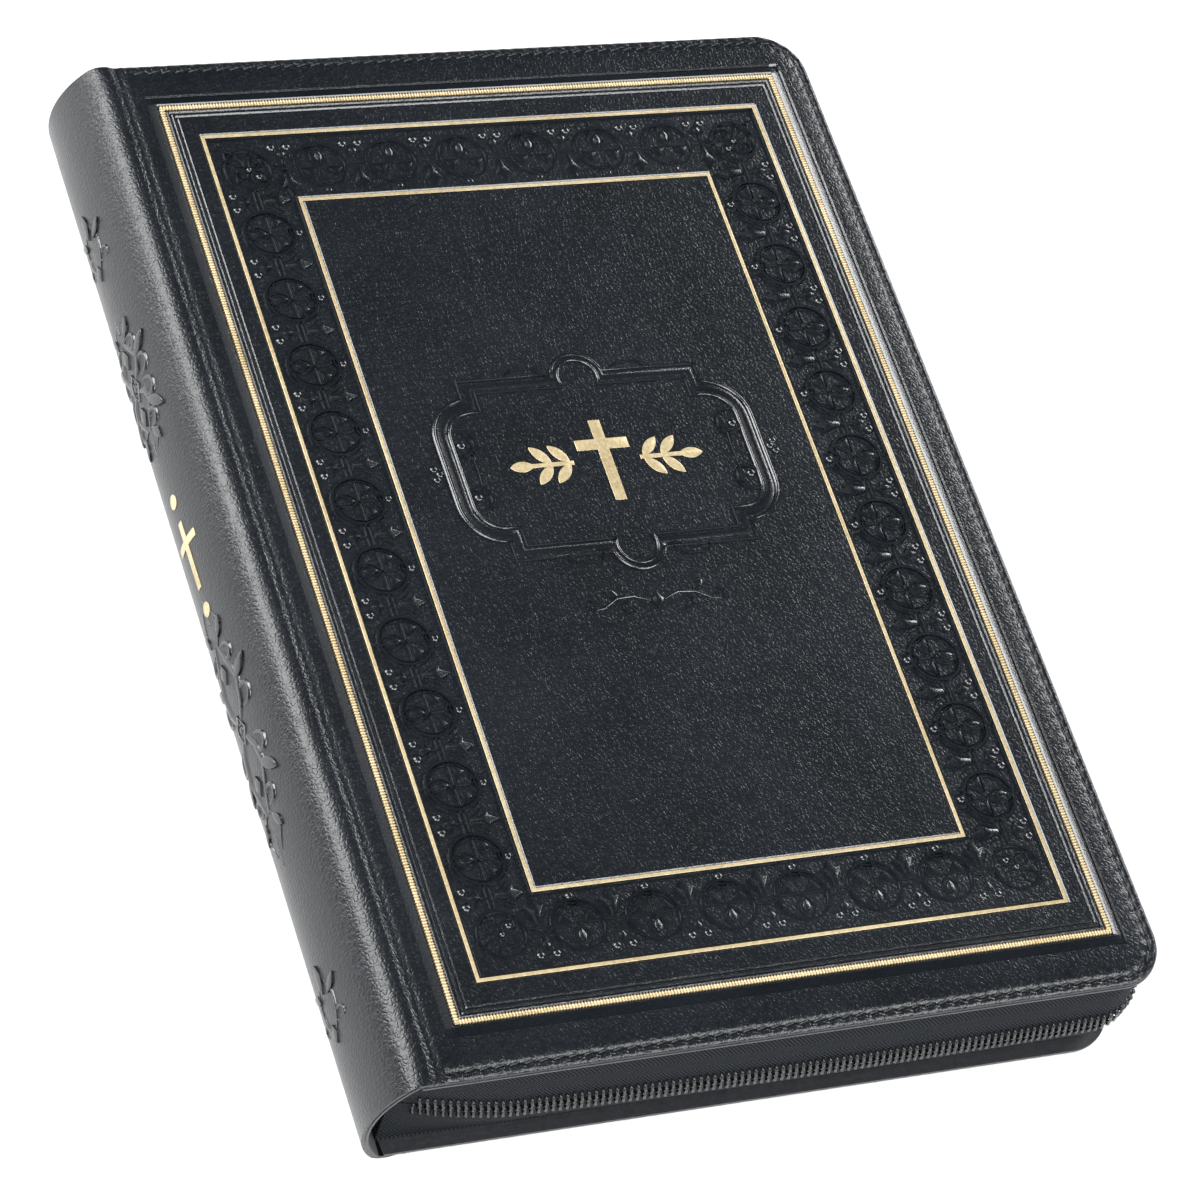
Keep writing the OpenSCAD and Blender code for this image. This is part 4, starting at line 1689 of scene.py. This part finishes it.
@dataclass
class Spine:
    """The round leather spine, its raised ornament, its gold mark and the two folds."""

    datum: Datum
    finish: dict[str, bpy.types.Material]
    half_angle: float = 37
    fold_run: float = 6.2 * MM
    valley: float = 0.32 * MM
    end_run: float = 7 * MM
    end_drop: float = 0.8 * MM
    near_run: float = 6.5 * MM
    bend_end: float = 2.4 * MM

    def on_arc(self, degrees: float, rise: float = 0) -> Flat:
        """Gives X and Z on the spine at an angle above its middle, some way off its face."""
        a, r = math.radians(degrees), self.datum.spine_r + rise
        return (self.datum.spine_x - r * math.cos(a), self.datum.mid_z + r * math.sin(a))

    def leather(self) -> Piece:
        """Bends the spine's leather round its arc.

        Returns:
            The leather, in its place.
        """
        d = self.datum
        r = d.spine_r
        skin = slab(
            (-d.skin, -d.half_h, -r * math.radians(self.half_angle)),
            (0, d.half_h, r * math.radians(self.half_angle)),
        )
        with edit(skin):
            slice_at(
                2, [r * math.radians(a) for a in range(-int(self.half_angle) + 1, int(self.half_angle), 1)]
            )
            slice_at(1, [d.half_h * i / 12 for i in range(-11, 12)])
        self.wrap(skin)
        skin.name = skin.data.name = "spine_leather"
        return smooth(skin, 40)

    def wrap(self, piece: Piece) -> Piece:
        """Bends a piece round the spine: its Z runs round the arc and its X stands off it.

        Args:
            piece: The flat piece.

        Returns:
            The same piece, bent.
        """
        d = self.datum

        def bent(v: Vector) -> Vector:
            """Bends one point.

            Args:
                v: A point of the flat piece.

            Returns:
                Its place on the spine.
            """
            a = v.z / d.spine_r
            r = d.spine_r + v.x
            return Vector((d.spine_x - r * math.cos(a), v.y + d.mid_y, d.mid_z + r * math.sin(a)))

        return true_normals(reshape(piece, bent))

    def fold(self, side: Side) -> Piece:
        """Rolls the leather over from the spine to a cover, with the soft hollow beside the board.

        Args:
            side: The cover it leads to.

        Returns:
            The fold, in its place.
        """
        d = self.datum
        start = self.on_arc(self.half_angle)
        a = math.radians(self.half_angle)
        run = (d.top - start[1]) / math.cos(a)
        corner = (start[0] + run * math.sin(a), d.top)
        end = (corner[0] + run, d.top)
        top: list[Flat] = []
        for i in range(11):
            t = i / 10
            top.append(
                tuple(start[k] * (1 - t) ** 2 + 2 * corner[k] * t * (1 - t) + end[k] * t * t for k in (0, 1))
            )
        last = d.fold_x + self.fold_run
        for i in range(1, 11):
            x = end[0] + (last - end[0]) * i / 10
            sink = self.valley * math.sin(math.pi * i / 10) ** 2
            top.append((x, d.top - sink))
        under: list[Flat] = []
        for i, (x, z) in enumerate(top):
            before, after = top[max(0, i - 1)], top[min(len(top) - 1, i + 1)]
            away = Vector((-(after[1] - before[1]), after[0] - before[0])).normalized()
            under.append((x - away.x * d.skin, z - away.y * d.skin))
        section = top + under[::-1]
        bpy.ops.mesh.primitive_circle_add(vertices=len(section), radius=1, fill_type="NGON")
        piece = bpy.context.object
        for vertex, (x, z) in zip(piece.data.vertices, section):
            vertex.co = (x, d.mid_y - d.half_h, z)
        with edit(piece):
            bpy.ops.mesh.select_all(action="SELECT")
            bpy.ops.mesh.extrude_repeat(steps=24, offset=(0, 2 * d.half_h / 24, 0))
            ends = [d.half_h - back * MM for back in (0.15, 0.4, 0.8, 1.4, 2.1, 3.0, 4.2, 5.6, 7.0)]
            slice_at(1, [d.mid_y + sign * end for sign in (-1, 1) for end in ends])
        reshape(piece, self.roll_down)
        true_normals(piece)
        name = "front" if side is Side.FRONT else "back"
        piece.name = piece.data.name = f"{name}_fold"
        if side is Side.BACK:
            d.turn_over(piece)
        return smooth(piece, 50)

    def roll_down(self, v: Vector) -> Vector:
        """Lets the fold's ends round down as they near the cover's rim.

        Args:
            v: A point of the fold.

        Returns:
            Where it comes to lie.
        """
        d = self.datum
        near = min(1.0, max(0.0, (v.x - d.fold_x + MM) / self.near_run))
        reach = abs(v.y - d.mid_y) - (d.half_h - self.end_run)
        if reach <= 0:
            return v
        drop = self.end_drop * (reach / self.end_run) ** 2
        drop += 0.16 * MM * max(0.0, (reach / MM - 6.3) / 0.7) ** 2
        return Vector((v.x, v.y, v.z - drop * near))

    def rod(
        self, line: Sequence[Flat], width: float, height: float, pointed: bool = True, closed: bool = False
    ) -> Piece:
        """Raises a ridge on the flat pattern, from points in millimetres along and across the spine.

        Args:
            line: The line it follows.
            width: Its width.
            height: Its height.
            pointed: Whether both ends thin out.
            closed: Whether the line closes.

        Returns:
            The ridge.
        """
        taper = (
            lambda t: 0.3 + 0.7 * math.sin(math.pi * min(1, t + 0.08))
        ) if pointed and not closed else None
        return ridge([(x * MM, y * MM) for x, y in line], 0, width * MM, height * MM, closed, taper)

    def pad(self, outline: Sequence[Flat], height: float, slope: float) -> Piece:
        """Raises a plate on the flat pattern, from points in millimetres."""
        return plate([(x * MM, y * MM) for x, y in outline], -0.05 * MM, height * MM, slope * MM)

    def small_mark(self, middle: float) -> list[Piece]:
        """Models a small spray of leaves at a place along the spine.

        Args:
            middle: Its middle along the spine, in millimetres.

        Returns:
            Its parts.
        """
        parts = []
        for side in (-1, 1):
            parts.append(
                self.rod(
                    [(side * x, y + middle) for x, y in ((0.6, -6), (3.2, -2.5), (3.8, 1.5), (1.2, 6))],
                    0.9,
                    0.36,
                )
            )
            parts.append(
                self.rod([(side * x, y + middle) for x, y in scroll(4.6, -3.4, 2.2, 200, -320)], 0.7, 0.34)
            )
            parts.append(
                self.pad(turned(almond(4.6, 2.0, 6), -52 * side, side * 2.2, middle + 2.2), 0.42, 0.3)
            )
        parts.append(self.pad(turned(almond(6.4, 2.6, 7), 0, 0, middle + 3), 0.45, 0.4))
        parts.append(
            self.pad(
                [(0, middle - 7.6), (1.3, middle - 5.6), (0, middle - 3.6), (-1.3, middle - 5.6)], 0.42, 0.4
            )
        )
        return parts

    def large_mark(self, middle: float, reach: float) -> list[Piece]:
        """Models a tall run of scrolls, leaves and lozenges.

        Args:
            middle: Its middle along the spine, in millimetres.
            reach: Half its length.

        Returns:
            Its parts.
        """
        parts = []
        for end in (-1, 1):
            for side in (-1, 1):
                def turn(line: Sequence[Flat], side: int = side, end: int = end) -> list[Flat]:
                    """Mirrors a line into this quarter of the pattern."""
                    return [(side * x, end * y + middle) for x, y in line]

                stem = [
                    (0.4, 1.0),
                    (3.4, reach * 0.16),
                    (4.6, reach * 0.32),
                    (2.2, reach * 0.5),
                    (0.6, reach * 0.64),
                ]
                parts.append(self.rod(turn(stem), 2.0, 0.5))
                parts.append(self.rod(turn(scroll(5.0, reach * 0.2, 2.9, 250, 330)), 1.3, 0.5))
                parts.append(self.rod(turn(scroll(3.4, reach * 0.52, 2.5, 120, -330)), 1.2, 0.46))
                parts.append(
                    self.rod(turn(((1.0, reach * 0.62), (4.4, reach * 0.74), (1.6, reach * 0.92))), 0.9, 0.38)
                )
                leaf = almond(6.2, 2.5, 7)
                outline = turn([(x, y) for x, y in turned(leaf, -48, 4.0, reach * 0.3)])
                parts.append(self.pad(outline if side * end > 0 else outline[::-1], 0.44, 0.35))
                outline = turn([(x, y) for x, y in turned(almond(4.6, 1.9, 6), -30, 2.4, reach * 0.66)])
                parts.append(self.pad(outline if side * end > 0 else outline[::-1], 0.42, 0.3))
            gem = [(0, -2.4), (1.5, 0), (0, 2.4), (-1.5, 0)]
            parts.append(self.pad([(x, y + middle + end * reach * 0.42) for x, y in gem], 0.44, 0.45))
            parts.append(self.rod([(0, middle + end * reach * 0.8), (0, middle + end * reach)], 0.9, 0.4))
        gem = [(0, -3.2), (2.0, 0), (0, 3.2), (-2.0, 0)]
        parts.append(self.rod([(x, y + middle) for x, y in gem], 0.7, 0.4, closed=True))
        parts.append(ball(0, middle * MM, 0, 0.95 * MM, 0.42 * MM))
        return parts

    def ornament(self) -> Piece:
        """Joins the raised marks and bends them round the spine.

        Returns:
            The ornament, in its place.
        """
        parts = self.small_mark(85) + self.large_mark(50, 17)
        parts += self.large_mark(-33, 31) + self.small_mark(-96)
        whole = join("spine_ornament", parts)
        reshape(whole, lambda v: Vector((v.z, v.y, -v.x)))
        return smooth(self.wrap(whole), 60)

    def make(self) -> None:
        """Makes the spine's pieces and the two folds that lead from the spine to the covers."""
        hand_over(self.leather(), "text_block", self.finish["leather"], ["spine_skin"])
        hand_over(self.ornament(), "text_block", self.finish["pressed"])
        mark = softened("spine_gold", "spine_gold_mark", 0.03 * MM)
        hand_over(mark, "text_block", self.finish["foil"], ["spine_gold"])
        for side in Side:
            piece = self.fold(side)
            piece.data.materials.clear()
            piece.data.materials.append(self.finish["leather"])
            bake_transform(piece)
            LOG.info("%s: bends between text_block and %s", piece.name, side.value)


# ---- zip ----


@dataclass
class ZipHalf:
    """One half of the zip: the tape wall and its coil of nylon loops."""

    datum: Datum
    side: Side
    finish: dict[str, bpy.types.Material]
    wall_r: float = 9.1 * MM
    bulge: float = 1.8 * MM
    bow: float = 2.4 * MM
    thick: float = 0.7 * MM
    wall_half: float = 13.3 * MM
    gap: float = 0.45 * MM
    set_in: float = 1.8 * MM
    pitch: float = 1.5 * MM
    wire: float = 0.26 * MM
    loop_top: float = 3.1
    loop_clear: float = 0.74
    head_clear: float = 6.2 * MM
    hem_r: float = 3.8 * MM
    hem_sinks: Flat = (0.12 * MM, 0.5 * MM)
    open_back: float = 1.5 * MM
    mesh_run: float = 6 * MM

    def track(self, start_x: float) -> EdgeTrack:
        """Gives the zip's track from a starting place along the head.

        Args:
            start_x: Where along X it starts.

        Returns:
            The track.
        """
        d = self.datum
        return EdgeTrack(
            start_x, d.edge_x - d.corner, d.half_h - d.corner - self.set_in, d.mid_y,
            self.wall_r + self.bulge, bow=self.bow, bow_half=self.wall_half,
        )

    def out(self, height: float) -> float:
        """Gives the tape's reach at a height above the middle."""
        return self.wall_r + self.bulge * (1 - (height / self.wall_half) ** 2)

    def tape(self) -> Piece:
        """Draws the tape out, maps its weave and lays it round the book.

        Returns:
            The tape, in its place.
        """
        d = self.datum
        steps = 12
        heights = [
            self.gap / 2 + (self.wall_half - 0.3 * MM - self.gap / 2) * i / steps for i in range(steps + 1)
        ]
        face = [(self.out(h), d.mid_z + h) for h in heights]
        upper, lower = (d.mid_z + self.wall_half - sink for sink in self.hem_sinks)
        hem = [(self.wall_r + 0.3 * MM, upper), (self.hem_r, upper), (self.hem_r, lower)]
        hem.append((self.wall_r - self.thick, lower))
        back = [(self.out(h) - self.thick, d.mid_z + h) for h in reversed(heights[:-1])]
        track = self.track(d.fold_x + 0.4 * MM)
        piece = strip(f"{self.side.value}_tape", face + hem + back, track.length, 1.25 * MM)
        self.weave(piece)
        track.lay(piece, d.mid_z)
        return self.to_side(smooth(piece, 50))

    def weave(self, piece: Piece) -> None:
        """Writes how far along and across the tape each corner lies, in millimetres.

        Args:
            piece: The straight tape.
        """
        layer = piece.data.uv_layers.new(name="Cloth")
        for loop in piece.data.loops:
            x, _, z = piece.data.vertices[loop.vertex_index].co
            layer.data[loop.index].uv = (x / MM, (z - self.datum.mid_z) / MM)

    def to_side(self, piece: Piece) -> Piece:
        """Turns a piece made for the upper half over for the lower one."""
        return self.datum.turn_over(piece) if self.side is Side.BACK else piece

    def coil(self) -> Piece:
        """Bends one loop of the coil, repeats it and lays the row round the book.

        Returns:
            The coil, in its place.
        """
        d = self.datum
        foot = self.out(0) + 0.1 * MM
        lean = 1 if self.side is Side.FRONT else -1
        path = [(0.34, 2.8, -0.2), (0.36, 2.72, 0.3), (0.3, 2.3, 0.58), (0.1, 1.5, 0.6), (-0.12, 0.8, 0.66),
                (-0.18, 0.1, 0.7), (-0.14, -0.42, 0.4), (-0.1, -0.46, -0.1)]
        bpy.ops.curve.primitive_nurbs_path_add()
        wire = bpy.context.object
        wire.data.splines.clear()
        spline = wire.data.splines.new("POLY")
        spline.points.add(len(path) - 1)
        for i, (x, z, y) in enumerate(path):
            spline.points[i].co = (lean * x * MM, y * MM + foot, d.mid_z + z * MM, 1)
            spline.points[i].radius = 1.55 if i in (1, 2) else 1.0
        wire.data.dimensions = "3D"
        wire.data.bevel_depth = self.wire
        wire.data.bevel_resolution = 1
        wire.data.use_fill_caps = True
        bpy.ops.object.convert(target="MESH")
        loop = bpy.context.object
        loop.data.materials.clear()
        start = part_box("upper_zip_coil")[0][0]
        head_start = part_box("zip_slider")[1][0] + self.head_clear
        track = self.track(start)
        skip = math.ceil((head_start - start) / self.pitch)
        offset = (skip + (0.5 if self.side is Side.BACK else 0)) * self.pitch
        reshape(loop, lambda v: Vector((v.x + offset, v.y, v.z)))
        count = int((track.length - offset) / self.pitch) - 1
        open_end = track.corner_x - start - self.open_back

        def parted(v: Vector) -> Vector:
            """Keeps the loops along the head clear of the slider's blade, and lets them mesh beyond it.

            Args:
                v: A point of the straight row of loops.

            Returns:
                Its place, still straight.
            """
            mesh = min(1.0, max(0.0, (v.x - open_end) / self.mesh_run))
            h = (v.z - d.mid_z) / MM
            squeeze = (self.loop_top - self.loop_clear) / (self.loop_top + self.loop_clear)
            clear = self.loop_clear + (h + self.loop_clear) * squeeze
            return Vector((v.x, v.y, d.mid_z + (h * mesh + clear * (1 - mesh)) * MM))

        run = track.lay(reshape(row(loop, count, self.pitch), parted), d.mid_z)
        run.name = run.data.name = f"{self.side.value}_coil"
        return self.to_side(smooth(run, 60))

    def make(self) -> None:
        """Makes the tape and the coil."""
        word = "upper" if self.side is Side.FRONT else "lower"
        hand_over(self.tape(), self.side.value, self.finish["tape"], [f"{word}_zip_tape"])
        hand_over(self.coil(), self.side.value, self.finish["coil"], [f"{word}_zip_coil"])


@dataclass
class Slider:
    """The zip's slider with its pull, their edges softened by casting and plating."""

    finish: dict[str, bpy.types.Material]

    def make(self) -> None:
        """Makes the slider's three pieces and the coil's end stop."""
        metal = self.finish["metal"]
        for node, name, width, steps, body in (
            ("zip_slider", "slider_body", 0.28 * MM, 3, "slider"),
            ("pull_pin", "slider_pin", 0.15 * MM, 2, "slider"),
            ("pull_tab", "slider_pull", 0.3 * MM, 3, "pull"),
        ):
            hand_over(softened(node, name, width, steps), body, metal, [node])
        stop = softened("zip_end_stop", "coil_end_stop", 0.3 * MM, 3)
        hand_over(stop, Side.BACK.value, self.finish["coil"], ["zip_end_stop"])


# ---- studio ----


@dataclass
class Studio:
    """A white sweep, soft lights and the camera."""

    datum: Datum
    finish: dict[str, bpy.types.Material]
    azimuth: float = 41.98
    elevation: float = 51.62
    roll: float = 29.39
    distance: float = 993.35 * MM
    lens: float = 146.4
    aim_off: Flat = (-12.67 * MM, -20.6 * MM)
    floor_size: float = 6
    floor_z: float = -0.2 * MM

    def floor(self) -> None:
        """Lays the floor."""
        bpy.ops.mesh.primitive_grid_add(
            x_subdivisions=8, y_subdivisions=8, size=self.floor_size, location=(0, 0, self.floor_z)
        )
        sweep = settle(bpy.context.object)
        sweep.name = "studio_floor"
        sweep.data.materials.append(self.finish["floor"])

    def light(
        self, name: str, place: Sequence[float], aim: Sequence[float], size: Flat, power: float
    ) -> None:
        """Hangs one soft box.

        Args:
            name: Its name.
            place: Where it hangs, in metres.
            aim: What it points at.
            size: Its width and height.
            power: Its power in watts.
        """
        bpy.ops.object.light_add(type="AREA", location=place)
        lamp = bpy.context.object
        lamp.name = lamp.data.name = name
        lamp.data.shape = "RECTANGLE"
        lamp.data.size, lamp.data.size_y = size
        lamp.data.energy = power
        lamp.rotation_euler = (Vector(aim) - Vector(place)).to_track_quat("-Z", "Y").to_euler()

    def camera(self) -> None:
        """Sets the camera over the spine's tail end, rolled as it was held."""
        a, e, r = (math.radians(x) for x in (self.azimuth, self.elevation, self.roll))
        forward = Vector((math.sin(a) * math.cos(e), math.cos(a) * math.cos(e), -math.sin(e)))
        level = Vector((math.cos(a), -math.sin(a), 0))
        right = level * math.cos(r) + level.cross(forward) * math.sin(r)
        up = right.cross(forward)
        off_x, off_y = self.aim_off
        aim = Vector((self.datum.gold_x + off_x, self.datum.mid_y + off_y, self.datum.top))
        bpy.ops.object.camera_add()
        eye = bpy.context.object
        eye.name = eye.data.name = "studio_camera"
        turn = Matrix((right, up, -forward)).transposed().to_4x4()
        eye.matrix_world = Matrix.Translation(aim - forward * self.distance) @ turn
        eye.data.lens = self.lens
        eye.data.sensor_width = 36
        eye.data.clip_start = 0.01
        bpy.context.scene.camera = eye

    def make(self) -> None:
        """Builds the studio."""
        self.floor()
        self.camera()
        world = bpy.data.worlds.new("studio_air")
        world.use_nodes = True
        world.node_tree.nodes["Background"].inputs["Color"].default_value = (0.86, 0.94, 1, 1)
        world.node_tree.nodes["Background"].inputs["Strength"].default_value = 0.05
        bpy.context.scene.world = world
        bpy.context.scene.view_settings.view_transform = "Standard"
        centre = (0, 0, self.datum.mid_z)
        self.light("key_box", (-0.75, -0.85, 1.35), centre, (1.1, 1.1), 30)
        self.light("spine_box", (-1.15, 0.88, 0.36), centre, (0.25, 0.4), 4.5)
        self.light("edge_box", (-0.80, 0.62, 0.92), centre, (0.95, 0.75), 24)
        self.light("tail_box", (0.62, -0.95, 0.85), centre, (1.2, 0.5), 17)
        self.light("far_box", (1.15, 0.65, 0.45), centre, (0.75, 0.4), 10)
        self.light("sheen_box", (0.05, 0.72, 1.4), centre, (0.4, 0.4), 0.5)
        LOG.info("studio set")


def dress_inner_nodes(finish: dict[str, bpy.types.Material]) -> None:
    """Gives every node that still shows its finish.

    Args:
        finish: The materials by short name.
    """
    dressing = {
        "backing": ("front_backing", "back_backing", "spine_backing"),
        "board": ("front_board", "back_board", "spine_stiffener"),
        "lining": ("front_lining", "back_lining"),
        "endpaper": ("front_pastedown", "back_pastedown", "front_flyleaf", "rear_flyleaf"),
        "leaf": ("presentation_leaf", "title_leaf"),
        "pages": ("page_block",),
        "mull": ("spine_mull",),
        "band": ("head_band", "tail_band"),
        "ribbon": ("ribbon_marker",),
    }
    for name, nodes in dressing.items():
        for node in nodes:
            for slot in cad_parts[node].material_slots:
                slot.material = finish[name]


def main() -> None:
    """Builds the book's pieces in order and sets the studio."""
    logging.basicConfig(level=logging.INFO, format="%(name)s: %(message)s")
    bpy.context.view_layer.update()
    datum = Datum.of_frame()
    finish = finishes()
    for side in Side:
        Cover(datum, side, finish).make()
        ZipHalf(datum, side, finish).make()
    Border(datum, finish).make()
    Panel(datum, finish).make()
    GoldLines(datum, finish).make()
    Spine(datum, finish).make()
    Slider(finish).make()
    dress_inner_nodes(finish)
    Studio(datum, finish).make()


if __name__ == "__main__":
    main()
